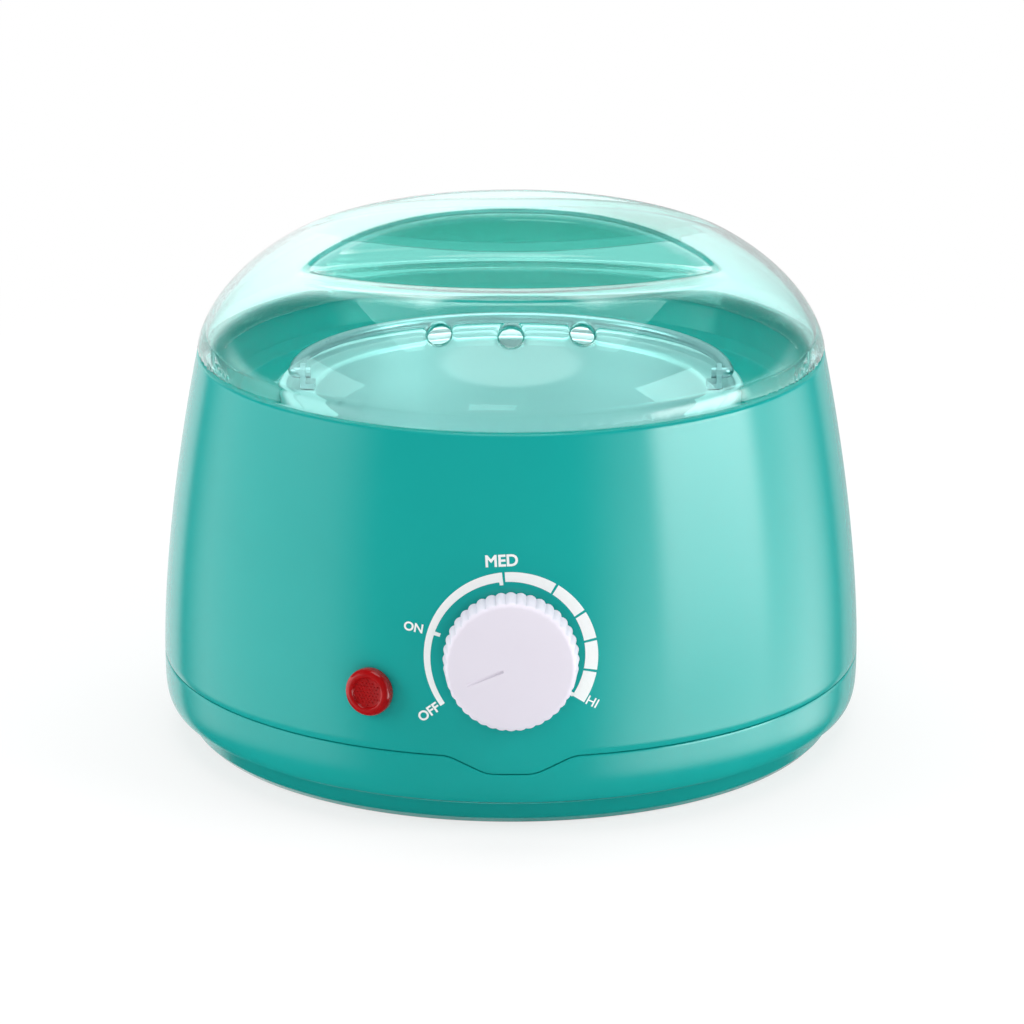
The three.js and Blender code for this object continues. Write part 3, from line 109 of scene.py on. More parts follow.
# Lid
LID_Z = 102.2
LID_RISE = 39.1
LID_WALL = 2.0
DOME_SIDE_POWER = 2.5
DOME_TOP_POWER = 1.645
LIP_DROP = 3.6
BAR_HALF = 7.0
BAR_EDGE_RADIUS = 92.4
SCOOP_RADIUS = 65.0
SCOOP_CENTRE = 10.0
SCOOP_DEPTH = 13.8
VENT_RADIUS = 3.0
VENT_RISE = 21.5
VENT_SPACING = 17.9
EDGE_ROUND = 2.6
SCOOP_CORNER_ROUND = 3.0
SCOOP_FLOOR_ROUND = 5.0
VENT_ROUND = 0.8
LID_SIDES = 256
LID_VOXEL = 0.98
PROBE = 0.02

# Pot, bail and well
POT_RADIUS = 52.6
POT_FLANGE_RADIUS = 61.5
POT_FLANGE_Z = 89.7
POT_FLOOR_Z = 29.2
POT_WALL = 1.2
BAIL_RADIUS = 57.3
BAIL_WIRE = 1.5
BAIL_Z = 94.9
BAIL_BEND = 1.6
BAIL_PIN = 52.8
BAIL_FLATTENING = 0.9686
WELL_RADIUS = 57.1
WELL_INNER_RADIUS = 54.6
WELL_FLANGE_RADIUS = 75.5
WELL_FOOT_Z = 26.4
WELL_FLOOR_Z = 28.9
WELL_FLANGE_Z = 79.7
WELL_FLANGE_TOP_Z = 81.7
WELL_RIM_Z = 88.6
WELL_SCREW_CIRCLE = 70
WELL_SCREW_HOLE = 1.8

# Dial, lamp and knob
DIAL_Z = 46.7
SCALE_RADIUS = 21.7
SCALE_START = 216
SCALE_END = -33
SCALE_CUT = 0.9
INK_GAP = 0.02
INK_DEPTH = 0.04
LETTER_BOLDNESS = 0.028
SHAFT_HOLE = 4.6
LENS_HOLE = 5.0
LAMP_Z = 36.0
LAMP_TURN = math.radians(-22.4)
DIMPLE_PITCH = 0.92
DIMPLED_RADIUS = 3.2
KNOB_RADIUS = 17.0
KNOB_FACE_RADIUS = 16.25
KNOB_FLUTES = 40
KNOB_FLUTE_DEPTH = 0.55
KNOB_HUB_RADIUS = 5.15
KNOB_BORE_RADIUS = 3.25
KNOB_HUB_FOOT = 1.4
POINTER_TURN = math.radians(202)
KNOB_GAP = 0.8
KNOB_TOP = 10.7
KNOB_WEB = 8.2

# Camera, fitted to the photograph's outline; distances in metres
CAMERA_PLACE = (0, -1.2, 0.4279)
CAMERA_TILT = math.radians(17.2)
FOCAL_PIXELS = 4721.4
FRAME_PIXELS = 1024
SENSOR_WIDTH = 36
FRAME_SHIFT = 0.001
LAMP_TARGET = Vector((0, 0, 0.06))
FLOOR_SIZE = 8


# The casing's surface

def wall_radius(z):
    share = max(0.0, (z - SEAM_Z) / (RIM_Z - SEAM_Z))
    return SEAM_RADIUS - (SEAM_RADIUS - RIM_RADIUS) * share ** TAPER_POWER


def skin_radius(z):
    """Outer radius of the whole casing at a height: the base's bulge, then the wall above the seam."""
    if z >= SEAM_Z:
        return wall_radius(z)
    up = min(1.0, max(0.0, (z - CREASE_Z) / (SEAM_Z - CREASE_Z)))
    out = (1 - (1 - up) ** BULGE_POWER) ** (1 / BULGE_POWER)
    return CREASE_RADIUS + (SEAM_RADIUS - CREASE_RADIUS) * out


def wall_lean(z):
    share = (z - SEAM_Z) / (RIM_Z - SEAM_Z)
    inset = (SEAM_RADIUS - RIM_RADIUS) * TAPER_POWER / (RIM_Z - SEAM_Z)
    return math.atan(inset * share ** (TAPER_POWER - 1))


def on_wall(turn, z):
    """A place on the wall: +Z stands out of it, +Y runs up it."""
    return (
        Matrix.Rotation(turn, 4, "Z")
        @ Matrix.Translation((0, -wall_radius(z) * MM, z * MM))
        @ Matrix.Rotation(math.pi / 2 - wall_lean(z), 4, "X")
    )


def on_gland_axis(y):
    """A place on the cable gland's axis, with +Z to the rear."""
    return Matrix.Translation((0, y * MM, GLAND_Z * MM)) @ Matrix.Rotation(-math.pi / 2, 4, "X")


def tab_depth(x):
    """How far the seam dips at a distance from the front's middle, with its corners blended."""
    window = np.linspace(-TAB_BLEND, TAB_BLEND, 9)
    slope = (TAB_HALF - np.abs(x + window)) / (TAB_HALF - TAB_FOOT_HALF)
    return TAB_DEPTH * float(np.clip(slope, 0, 1).mean())


def ease(share):
    share = min(1.0, max(0.0, share))
    return share * share * (3 - 2 * share)


# Modelling

def only(obj):
    bpy.ops.object.select_all(action="DESELECT")
    obj.select_set(True)
    bpy.context.view_layer.objects.active = obj


def editing(obj):
    only(obj)
    bpy.ops.object.mode_set(mode="EDIT")
    bpy.ops.mesh.select_all(action="SELECT")


def done():
    bpy.ops.object.mode_set(mode="OBJECT")
    return bpy.context.active_object


def rounded(corners, steps=5):
    """Outline points from (radius, height, fillet) corners."""
    points = []
    for i, (x, z, fillet) in enumerate(corners):
        here = Vector((x, z))
        if not fillet:
            points.append(here)
            continue
        back = (Vector(corners[i - 1][:2]) - here).normalized()
        ahead = (Vector(corners[(i + 1) % len(corners)][:2]) - here).normalized()
        half = back.angle(ahead) / 2
        centre = here + (back + ahead).normalized() * fillet / math.sin(half)
        start = here + back * fillet / math.tan(half) - centre
        end = here + ahead * fillet / math.tan(half) - centre
        sweep = start.angle(end)
        for k in range(steps + 1):
            share = k / steps
            arc = start * math.sin((1 - share) * sweep) + end * math.sin(share * sweep)
            points.append(centre + arc / math.sin(sweep))
    return points


def chain(name, points):
    """A chain of edges drawn by extruding one point, left in edit mode."""
    places = [Vector(point) * MM for point in points]
    bpy.ops.object.select_all(action="DESELECT")
    bpy.ops.mesh.primitive_plane_add(size=MM)
    bpy.context.active_object.name = name
    bpy.ops.object.mode_set(mode="EDIT")
    bpy.ops.mesh.merge(type="CENTER")
    bpy.ops.transform.translate(value=places[0])
    for before, after in zip(places, places[1:]):
        bpy.ops.mesh.extrude_region_move(TRANSFORM_OT_translate={"value": after - before})
    bpy.ops.mesh.select_all(action="SELECT")


def weld():
    bpy.ops.mesh.select_all(action="SELECT")
    bpy.ops.mesh.remove_doubles(threshold=WELD_GAP * MM)


def outward():
    bpy.ops.mesh.select_all(action="SELECT")
    bpy.ops.mesh.normals_make_consistent(inside=False)


def turned(name, outline, sides, closed=False):
    """A solid spun about Z from an outline of (radius, height) points."""
    points = [(point[0], 0, point[1]) for point in outline]
    chain(name, points + points[:1] if closed else points)
    bpy.ops.mesh.spin(steps=sides, angle=TURN, center=(0, 0, 0), axis=(0, 0, 1))
    weld()
    outward()
    return done()


def rod(radius, low, high, sides=48, at=(0, 0)):
    """A plain cylinder that is only used to cut or to be joined to something."""
    bpy.ops.object.select_all(action="DESELECT")
    bpy.ops.mesh.primitive_cylinder_add(
        vertices=sides, radius=radius * MM, depth=(high - low) * MM,
        location=(at[0] * MM, at[1] * MM, (low + high) / 2 * MM),
    )
    return bpy.context.active_object


def four_rods(radius, low, high, circle, offset=0.0, sides=48):
    """Rods a quarter turn apart on a circle."""
    turns = [(i + offset) * TURN / 4 for i in range(4)]
    return [rod(radius, low, high, sides, (circle * math.cos(turn), circle * math.sin(turn))) for turn in turns]


def slab(size, at):
    """A plain block that is only used to cut or to be joined to something."""
    bpy.ops.object.select_all(action="DESELECT")
    bpy.ops.mesh.primitive_cube_add(size=1, location=Vector(at) * MM, scale=Vector(size) * MM)
    return bpy.context.active_object


def moved(obj, matrix):
    only(obj)
    obj.matrix_world = matrix @ obj.matrix_world
    bpy.ops.object.transform_apply(location=True, rotation=True, scale=True)
    return obj


def copied(obj, name, matrix):
    only(obj)
    bpy.ops.object.duplicate()
    copy = bpy.context.active_object
    copy.name = name
    return moved(copy, matrix)


def applied(obj, kind, **settings):
    only(obj)
    modifier = obj.modifiers.new(kind.lower(), kind)
    for key, value in settings.items():
        setattr(modifier, key, value)
    bpy.ops.object.modifier_apply(modifier=modifier.name)
    return obj


def combined(obj, operation, *tools):
    for tool in tools:
        applied(obj, "BOOLEAN", operation=operation, solver="EXACT", object=tool)
        bpy.data.objects.remove(tool)
    return obj


def merged(first, *others):
    only(first)
    for other in others:
        other.select_set(True)
    bpy.ops.object.join()
    return first


def points_of(obj):
    flat = np.empty(3 * len(obj.data.vertices))
    obj.data.vertices.foreach_get("co", flat)
    return flat.reshape(-1, 3) / MM


def put_points(obj, points):
    obj.data.vertices.foreach_set("co", (points * MM).ravel())
    obj.data.update()


def finished(obj, body, finish, slot, *nodes, angle=35):
    only(obj)
    bpy.ops.object.transform_apply(location=True, rotation=True, scale=True)
    bpy.ops.object.shade_smooth_by_angle(angle=math.radians(angle))
    obj.data.materials.clear()
    obj.data.materials.append(finish)
    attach(obj, body)
    if nodes:
        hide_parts(*nodes)
    return obj


# Finishes

class Term:
    """A value in a node tree, so that sums on it are written as sums."""

    def __init__(self, nodes, socket):
        self.nodes = nodes
        self.socket = socket

    def output(self, name):
        """Another output of the node that this value comes from."""
        return Term(self.nodes, self.socket.node.outputs[name])

    def sum(self, operation, first, second=None):
        inputs = {0: first} if second is None else {0: first, 1: second}
        return self.nodes.node("ShaderNodeMath", {"operation": operation}, inputs)

    def __add__(self, other): return self.sum("ADD", self, other)
    def __radd__(self, other): return self.sum("ADD", other, self)
    def __sub__(self, other): return self.sum("SUBTRACT", self, other)
    def __rsub__(self, other): return self.sum("SUBTRACT", other, self)
    def __mul__(self, other): return self.sum("MULTIPLY", self, other)
    def __rmul__(self, other): return self.sum("MULTIPLY", other, self)
    def __truediv__(self, other): return self.sum("DIVIDE", self, other)

    def sine(self): return self.sum("SINE", self)
    def arcsine(self): return self.sum("ARCSINE", self)
    def turn_from(self, other): return self.sum("ARCTAN2", self, other)
    def root(self): return self.sum("SQRT", self)
    def size(self): return self.sum("ABSOLUTE", self)
    def power(self, other): return self.sum("POWER", self, other)
    def larger(self, other): return self.sum("MAXIMUM", self, other)

    def ramp(self, start, end):
        """Nothing at the start value, one at the end value, eased in between."""
        settings = {"interpolation_type": "SMOOTHSTEP"}
        return self.nodes.node("ShaderNodeMapRange", settings, {0: self, 1: start, 2: end, 3: 0.0, 4: 1.0})

    def between(self, low, high, soft):
        """One between two values, nothing outside them, with soft ends."""
        return self.ramp(low - soft, low + soft) * (1 - self.ramp(high - soft, high + soft))


class Nodes:
    """A node tree whose nodes are made one call at a time."""

    def __init__(self, tree):
        self.tree = tree

    def feed(self, socket, value):
        if isinstance(value, Term):
            self.tree.links.new(value.socket, socket)
        else:
            socket.default_value = value

    def node(self, kind, settings=None, inputs=None, output=0):
        made = self.tree.nodes.new(kind)
        for key, value in (settings or {}).items():
            setattr(made, key, value)
        for key, value in (inputs or {}).items():
            self.feed(made.inputs[key], value)
        return Term(self, made.outputs[output])

    def axes(self, vector):
        split = self.node("ShaderNodeSeparateXYZ", None, {0: vector})
        return [split.output(name) for name in "XYZ"]

    def seen(self, path):
        """One for what the camera sees, also through clear plastic, but not by way of a bounce."""
        bounced = (path.output("Diffuse Depth") + path.output("Glossy Depth")).ramp(0, 1)
        return path.output("Is Camera Ray").larger(path.output("Is Transmission Ray") * (1 - bounced))


class Finish(Nodes):
    """A material's nodes, round one surface shader."""

    def __init__(self, name, **uniform):
        self.material = bpy.data.materials.new(name)
        self.material.use_nodes = True
        super().__init__(self.material.node_tree)
        self.shader = self.tree.nodes["Principled BSDF"]
        self.output = self.tree.nodes["Material Output"]
        for key, value in uniform.items():
            self.shader.inputs[key.replace("_", " ")].default_value = value
        self.place = self.node("ShaderNodeTexCoord", output="Object")

    def noise(self, per_mm, detail=2.0):
        inputs = {"Vector": self.place, "Scale": per_mm / MM, "Detail": detail}
        return self.node("ShaderNodeTexNoise", None, inputs)

    def blend(self, share, low, high):
        """A colour between two colours."""
        inputs = {"Factor": share, "A": low, "B": high}
        return self.node("ShaderNodeMix", {"data_type": "RGBA"}, inputs, output=2)

    def colour(self, value): self.feed(self.shader.inputs["Base Color"], value)
    def roughness(self, value): self.feed(self.shader.inputs["Roughness"], value)

    def bump(self, height, depth_mm):
        inputs = {"Height": height, "Distance": depth_mm * MM}
        self.feed(self.shader.inputs["Normal"], self.node("ShaderNodeBump", None, inputs))

    def mixed(self, share, other):
        """Puts another shader in the surface's place by a share."""
        surface = Term(self, self.output.inputs["Surface"].links[0].from_socket)
        both = self.node("ShaderNodeMixShader", None, {0: share, 1: surface, 2: other})
        self.feed(self.output.inputs["Surface"], both)


def shade(red, green, blue):
    """A colour given as it is seen on a screen, 0 to 255."""
    linear = []
    for value in (red / 255, green / 255, blue / 255):
        linear.append(value / 12.92 if value <= 0.04045 else ((value + 0.055) / 1.055) ** 2.4)
    return (*linear, 1.0)


def teal_casing():
    f = Finish("teal casing", IOR=1.5)
    cloud = f.noise(0.02, 3.0)
    f.colour(f.blend(cloud, shade(14, 156, 150), shade(24, 164, 158)))
    f.roughness(0.12 + 0.08 * f.noise(0.6, 4.0))
    f.bump(f.noise(2.2), 0.004)
    return f.material


def clear_teal():
    """Clear teal plastic with painted shade: a deeper teal over the scoops, darkest along their edges and round
    the vents.
    """
    f = Finish("clear teal lid", IOR=1.02, Transmission_Weight=1.0, Roughness=0.0, Coat_Weight=1.0,
               Coat_Roughness=0.0, Coat_IOR=1.5)
    x, y, z = f.axes(f.place)
    share = (x * x + y * y).root() / (RIM_RADIUS * MM)
    dome = RIM_Z + LID_RISE * (1 - share.power(DOME_SIDE_POWER)).larger(0).power(1 / DOME_TOP_POWER)
    below = dome - z / MM
    inside = 1 - share.ramp(0.80, 0.86)
    # Painted shade: the scoops' surfaces get a deeper teal, standing in for the darker look through their
    # walls.
    painted_scoop_shade = below.ramp(2.6, 4.2) * inside
    # Painted shade: a dark teal line along the scoops' edges.
    edge = below.between(0.3, 1.3, 0.25) * inside
    # The lid's own pale tint, deepened over the scoops by the painted shade.
    plain = f.blend(painted_scoop_shade, shade(196, 232, 229), shade(152, 216, 208))
    radius = RIM_RADIUS * (1 - (VENT_RISE / LID_RISE) ** DOME_TOP_POWER) ** (1 / DOME_SIDE_POWER)
    # Painted shade: a dark teal ring round each vent.
    for side in (-1, 0, 1):
        across, up = x / MM - side * VENT_SPACING, z / MM - RIM_Z - VENT_RISE
        ahead = y / MM + math.sqrt(radius ** 2 - (side * VENT_SPACING) ** 2)
        away = (across * across + ahead * ahead + up * up).root()
        edge = edge.larger(1 - away.ramp(VENT_RADIUS + 0.2, VENT_RADIUS + 0.8))
    # The lid's tint, with the painted edge and vent-ring shade laid over it.
    f.colour(f.blend(edge, plain, shade(28, 126, 116)))
    f.bump(f.noise(0.06), 0.03)
    light = f.node("ShaderNodeLightPath", output="Is Shadow Ray")
    f.mixed(light, f.node("ShaderNodeBsdfTransparent", None, {"Color": shade(124, 172, 167)}))
    return f.material


def knob_white():
    f = Finish("knob white", IOR=1.46)
    f.colour(f.blend(f.noise(0.05), shade(222, 216, 228), shade(228, 223, 234)))
    f.roughness(0.36 + 0.12 * f.noise(1.5, 3.0))
    f.bump(f.noise(4.0, 3.0), 0.012)
    return f.material


def dial_ink():
    f = Finish("dial ink", IOR=1.45)
    f.colour(f.blend(f.noise(3.0, 3.0), shade(232, 236, 235), shade(242, 245, 244)))
    f.roughness(0.42 + 0.1 * f.noise(4.0))
    f.bump(f.noise(6.0), 0.004)
    return f.material


def lamp_red():
    f = Finish("lamp red", IOR=1.5, Coat_Weight=0.3, Coat_Roughness=0.05)
    f.colour(f.blend(f.noise(0.4), shade(150, 6, 10), shade(176, 14, 18)))
    f.roughness(0.1 + 0.08 * f.noise(2.0))
    f.bump(f.noise(1.5), 0.01)
    return f.material


def spun_aluminium():
    f = Finish("spun aluminium", Metallic=1.0)
    x, y, _ = f.axes(f.place)
    inputs = {"W": (x * x + y * y).root(), "Scale": 2.4 / MM, "Detail": 3.0}
    rings = f.node("ShaderNodeTexNoise", {"noise_dimensions": "1D"}, inputs)
    f.colour(f.blend(rings, shade(238, 240, 241), shade(250, 251, 252)))
    f.roughness(0.4 + 0.14 * rings)
    f.bump(rings, 0.02)
    return f.material


def metal(name, low, high, rough):
    f = Finish(name, Metallic=1.0)
    where = f.node("ShaderNodeMapping", None, {"Vector": f.place, "Scale": (1.0, 1.0, 6.0)})
    grain = f.node("ShaderNodeTexNoise", None, {"Vector": where, "Scale": 1.2 / MM, "Detail": 3.0})
    f.colour(f.blend(grain, low, high))
    f.roughness(rough + 0.16 * grain)
    f.bump(grain, 0.01)
    return f.material


def moulded(name, low, high, rough, per_mm=1.5, depth=0.02):
    f = Finish(name, IOR=1.46)
    grain = f.noise(per_mm, 3.0)
    f.colour(f.blend(grain, low, high))
    f.roughness(rough + 0.12 * grain)
    f.bump(grain, depth)
    return f.material


def mica_sheet():
    f = Finish("mica sheet", IOR=1.5)
    flakes = f.node("ShaderNodeTexVoronoi", None, {"Vector": f.place, "Scale": 0.5 / MM}, output="Color")
    tone = f.node("ShaderNodeSeparateColor", None, {0: flakes})
    f.colour(f.blend(tone, shade(150, 128, 98), shade(192, 174, 140)))
    f.roughness(0.35 + 0.3 * tone)
    f.bump(tone, 0.03)
    return f.material


def glass_sleeve():
    f = Finish("glass fibre sleeve", IOR=1.45)
    x, _, z = f.axes(f.place)
    weave = ((x + z) * (4.0 / MM)).sine() * ((x - z) * (4.0 / MM)).sine()
    tone = 0.5 + 0.5 * weave
    f.colour(f.blend(tone, shade(214, 206, 184), shade(240, 235, 220)))
    f.roughness(0.7 + 0.1 * tone)
    f.bump(tone, 0.05)
    return f.material


def bulb_glass():
    f = Finish("bulb glass", IOR=1.5, Transmission_Weight=0.9)
    f.colour(shade(240, 226, 214))
    f.roughness(0.03 + 0.04 * f.noise(0.8))
    return f.material


FINISHES = {
    "teal_shell": teal_casing(),
    "clear_lid": clear_teal(),
    "white_knob": knob_white(),
    "red_lens": lamp_red(),
    "aluminium": spun_aluminium(),
    "steel": metal("zinc plated steel", shade(176, 179, 183), shade(208, 210, 213), 0.22),
    "brass": metal("brass", shade(190, 152, 76), shade(220, 186, 108), 0.25),
    "mica": mica_sheet(),
    "ceramic": moulded("steatite", shade(222, 215, 198), shade(238, 232, 218), 0.5),
    "fuse_sleeve": glass_sleeve(),
    "bulb_glass": bulb_glass(),
    "resistor": moulded("resistor lacquer", shade(190, 164, 120), shade(208, 184, 142), 0.3),
    "rubber": moulded("foot rubber", shade(34, 34, 36), shade(48, 48, 50), 0.72, 2.5, 0.03),
    "black_plastic": moulded("black plastic", shade(26, 27, 29), shade(38, 39, 41), 0.42, 3.0, 0.03),
    "brown_wire": moulded("brown insulation", shade(96, 56, 32), shade(112, 68, 42), 0.4, 0.8, 0.01),
    "blue_wire": moulded("blue insulation", shade(36, 78, 156), shade(46, 92, 176), 0.4, 0.8, 0.01),
    "white_wire": moulded("white insulation", shade(216, 214, 208), shade(232, 230, 225), 0.4, 0.8, 0.01),
}

INK = dial_ink()

for entry in frame["record"]["subparts"]:
    node = frame["nodes"][entry["node"]]
    node.data.materials.clear()
    node.data.materials.append(FINISHES[entry["material_slot"]])


# Camera and light

def area(name, place, width, height, watts):
    bpy.ops.object.light_add(type="AREA", location=place)
    lamp = bpy.context.active_object
    lamp.name = name
    lamp.rotation_euler = (LAMP_TARGET - Vector(place)).to_track_quat("-Z", "Y").to_euler()
    lamp.data.shape = "RECTANGLE"
    lamp.data.size = width
    lamp.data.size_y = height
    lamp.data.energy = watts
    lamp.visible_glossy = False


def camera():
    bpy.ops.object.camera_add(location=CAMERA_PLACE)
    made = bpy.context.active_object
    made.rotation_euler = (math.pi / 2 - CAMERA_TILT, 0, 0)
    made.data.sensor_width = SENSOR_WIDTH
    made.data.lens = FOCAL_PIXELS / FRAME_PIXELS * SENSOR_WIDTH
    made.data.shift_x = FRAME_SHIFT
    made.data.clip_start = 0.05
    made.data.clip_end = 20
    bpy.context.scene.camera = made


def mirrored_studio(sky, clear):
    """What gloss mirrors: dark in front, pale screens at the sides and behind, brighter on clear plastic.

    Directions are in degrees: the turn is 0 towards the dial and grows to the right, the rise is 0 level.
    """
    x, y, z = sky.axes(sky.node("ShaderNodeTexCoord", output="Generated"))
    turn = x.turn_from(-1 * y) * math.degrees(1)
    rise = z.arcsine() * math.degrees(1)
    across, ahead = x / z.larger(0.02), y / z.larger(0.02)

    level = rise.between(-24, 11, 3)
    left = turn.between(-128, -54, 12) * (1.1 + 0.06 * rise.larger(0))
    right = turn.between(34, 126, 14) * (1.8 - 0.06 * rise)
    window = turn.between(51, 93, 4) * (5.4 + 0.34 * rise).larger(0.7)

    behind = turn.size().ramp(138, 146) * (1 - rise.ramp(64, 68))
    behind = behind * (0.75 + 0.25 * rise.ramp(-12, 0)) * (1 - 0.35 * across.ramp(-0.2, 0.4))
    behind = behind * (1.2 - 0.1 * clear + 0.075 * clear * rise.larger(0))

    aside, beyond = across / 0.36, (ahead + 0.42) / 0.36
    spot = 2.0 * (1 - (aside * aside + beyond * beyond).root().ramp(0.85, 1.15)) * rise.ramp(20, 40)
    return 0.04 + behind + (left + right + window) * level + spot


def studio():
    """Soft lamps, and a world that is white to the camera, plain to matt surfaces and a studio to gloss."""
    area("softbox right", (1.05, -0.42, 0.55), 0.55, 0.75, 9)
    area("softbox left", (-1.2, -0.2, 0.5), 0.7, 0.9, 9)
    area("softbox above", (0, 0.25, 1.3), 1.3, 0.9, 12)
    area("fill from the front", (-0.2, -1.6, 0.9), 0.5, 0.5, 3)

    world = bpy.data.worlds.new("studio")
    world.use_nodes = True
    bpy.context.scene.world = world
    sky = Nodes(world.node_tree)
    path = sky.node("ShaderNodeLightPath")
    glossy = path.output("Is Glossy Ray")
    within = path.output("Transmission Depth").ramp(2.5, 3.5)
    mirrored = mirrored_studio(sky, path.output("Is Singular Ray")) * (1 - within) + 1.4 * within
    strength = (glossy * mirrored + (1 - glossy) * 0.4).larger(sky.seen(path))
    background = world.node_tree.nodes["Background"]
    background.inputs["Color"].default_value = (1, 1, 1, 1)
    sky.feed(background.inputs["Strength"], strength)


def floor():
    """A wide pale floor that shows white to the camera and keeps a part of the shadow."""
    bpy.ops.object.select_all(action="DESELECT")
    bpy.ops.mesh.primitive_grid_add(x_subdivisions=4, y_subdivisions=4, size=FLOOR_SIZE)
    obj = bpy.context.active_object
    obj.name = "floor"
    f = Finish("floor", Base_Color=(0.86, 0.86, 0.86, 1), Roughness=0.9, Specular_IOR_Level=0.0)
    path = f.node("ShaderNodeLightPath")
    x, y, _ = f.axes(f.place)
    white = f.seen(path) * (0.74 + 0.26 * (x * x + y * y).root().ramp(0.2, 0.5))
    f.mixed(white, f.node("ShaderNodeEmission", None, {"Color": (1, 1, 1, 1)}))
    f.mixed(path.output("Is Glossy Ray"), f.node("ShaderNodeBsdfTransparent"))
    obj.data.materials.append(f.material)


# Casing pieces

def dipped(obj, hold_z, keeps):
    """Moves the seam's edge down along the tab, with the skin's own curve."""
    points = points_of(obj)
    for i, (x, y, z) in enumerate(points):
        radius = math.hypot(x, y)
        if y > 0 or abs(x) > TAB_HALF + TAB_BLEND or not keeps(radius, z):
            continue
        share = ease((z - hold_z) / (SEAM_Z - hold_z))
        low = z - tab_depth(x) * share
        scale = (radius + skin_radius(low) - skin_radius(z)) / radius
        points[i] = (x * scale, y * scale, low)
    put_points(obj, points)


def upper_casing():
    inner_foot = wall_radius(SEAM_Z) - WALL
    slope_back = [(73.7, DECK_Z - WALL, 0), (77.2, 90.8, 0), (79.6, INNER_WALL_TOP_Z, 0)]
    outline = [
        Vector((inner_foot, SEAM_Z)),
        Vector((wall_radius(SEAM_Z) - SEAM_CHAMFER, SEAM_Z)),
        Vector((wall_radius(SEAM_Z) - SEAM_EASE, SEAM_Z + SEAM_EASE)),
    ]
    for z in np.linspace(SEAM_Z + SEAM_CHAMFER, RIM_Z - 1.2, WALL_STEPS + 1):
        outline.append(Vector((wall_radius(z), z)))
    outline += rounded([
        (wall_radius(RIM_Z - 1.0), RIM_Z - 1.0, 0),
        (RIM_RADIUS, RIM_Z, 0.8),
        (SLOPE_TOP_RADIUS, RIM_Z, 0.7),
        (SLOPE_FOOT_RADIUS, SLOPE_FOOT_Z, 2.0),
        (SLOPE_FOOT_RADIUS - DECK_CORNER, DECK_Z, 1.2),
        (DECK_OPENING, DECK_Z, 0.7),
        (DECK_OPENING, DECK_Z - WALL, 0.3),
    ] + slope_back)[1:]
    for z in np.linspace(INNER_WALL_TOP_Z, SEAM_Z, INNER_WALL_STEPS, endpoint=False):
        outline.append(Vector((wall_radius(z) - WALL, z)))
    obj = turned("upper_casing", outline, CASING_SIDES, closed=True)
    dipped(obj, TAB_HOLD_Z, lambda radius, z: z < TAB_HOLD_Z)
    shaft_hole = moved(rod(SHAFT_HOLE, -6, 4), on_wall(0, DIAL_Z))
    lens_hole = moved(rod(LENS_HOLE, -6, 4), on_wall(LAMP_TURN, LAMP_Z))
    combined(obj, "DIFFERENCE", merged(shaft_hole, lens_hole))
    return finished(obj, "root", FINISHES["teal_shell"], "teal_shell", "upper_housing")


def base():
    inner_foot = FOOT_RADIUS - WALL
    outline = [Vector((0, FLOOR_Z))] + rounded([
        (inner_foot, FLOOR_Z, 0),
        (inner_foot, BASE_Z, 0.3),
        (FOOT_RADIUS, BASE_Z, 0.9),
        (FOOT_RADIUS + 1.8, BASE_Z + 1.8, 1.6),
        (CREASE_RADIUS - 0.15, CREASE_Z - 0.5, 1.0),
        (skin_radius(BULGE_FOOT_Z), BULGE_FOOT_Z, 0),
    ])
    for z in np.linspace(BULGE_FOOT_Z, BASE_TOP_Z - SEAM_CHAMFER, BULGE_STEPS + 1)[1:]:
        outline.append(Vector((skin_radius(z), z)))
    outline += [Vector(corner) for corner in (
        (SEAM_RADIUS - SEAM_EASE, BASE_TOP_Z - SEAM_EASE),
        (SEAM_RADIUS - SEAM_CHAMFER, BASE_TOP_Z),
        (TONGUE_RADIUS, BASE_TOP_Z),
        (TONGUE_RADIUS, TONGUE_Z),
        (TONGUE_RADIUS - WALL, TONGUE_Z),
        (TONGUE_RADIUS - WALL, SEAM_Z - 4.5),
        (CREASE_RADIUS + 1.6, CREASE_Z + 3.2),
        (CREASE_RADIUS - WALL, CREASE_Z),
        (CREASE_RADIUS - WALL, FLOOR_TOP_Z),
        (0, FLOOR_TOP_Z),
    )]
    obj = turned("base", outline, CASING_SIDES)
    outer = TONGUE_RADIUS - 0.01
    dipped(obj, TAB_HOLD_BELOW_Z, lambda radius, z: radius > outer and TAB_HOLD_BELOW_Z < z < SEAM_Z)

    bosses = four_rods(BOSS_RADIUS, 4.0, 21.8, BOSS_CIRCLE, 0.5)
    combined(obj, "UNION", merged(gland_pad(), *bosses))
    head_recesses = four_rods(SCREW_HEAD_RADIUS, -1, 8.5, BOSS_CIRCLE, 0.5)
    shank_holes = four_rods(SCREW_SHANK_RADIUS, 8, 23, BOSS_CIRCLE, 0.5)
    foot_holes = four_rods(FOOT_HOLE_RADIUS, 1, 6, FOOT_CIRCLE)
    gland_bore = moved(rod(GLAND_BORE_RADIUS, -4, 12), on_gland_axis(PAD_FOOT))
    holes = merged(*head_recesses, *foot_holes, *air_slots(), gland_bore)
    combined(obj, "DIFFERENCE", holes, merged(*shank_holes))
    return finished(obj, "root", FINISHES["teal_shell"], "teal_shell", "base_shell")


def gland_pad():
    """The flat-faced pad that the cable gland sits on, with a rounded edge."""
    outline = rounded([(0, 0, 0), (PAD_RADIUS, 0, 0), (PAD_RADIUS, PAD_DEPTH, 0.7), (0, PAD_DEPTH, 0)])
    return moved(turned("gland pad", outline, 64), on_gland_axis(PAD_FOOT))


def air_slots():
    slots = []
    for i in range(AIR_SLOTS):
        slot = slab(AIR_SLOT_SIZE, AIR_SLOT_PLACE)
        applied(slot, "BEVEL", width=AIR_SLOT_ROUND * MM, segments=4, limit_method="ANGLE")
        slots.append(moved(slot, Matrix.Rotation((i + 0.5) * TURN / AIR_SLOTS, 4, "Z")))
    return slots


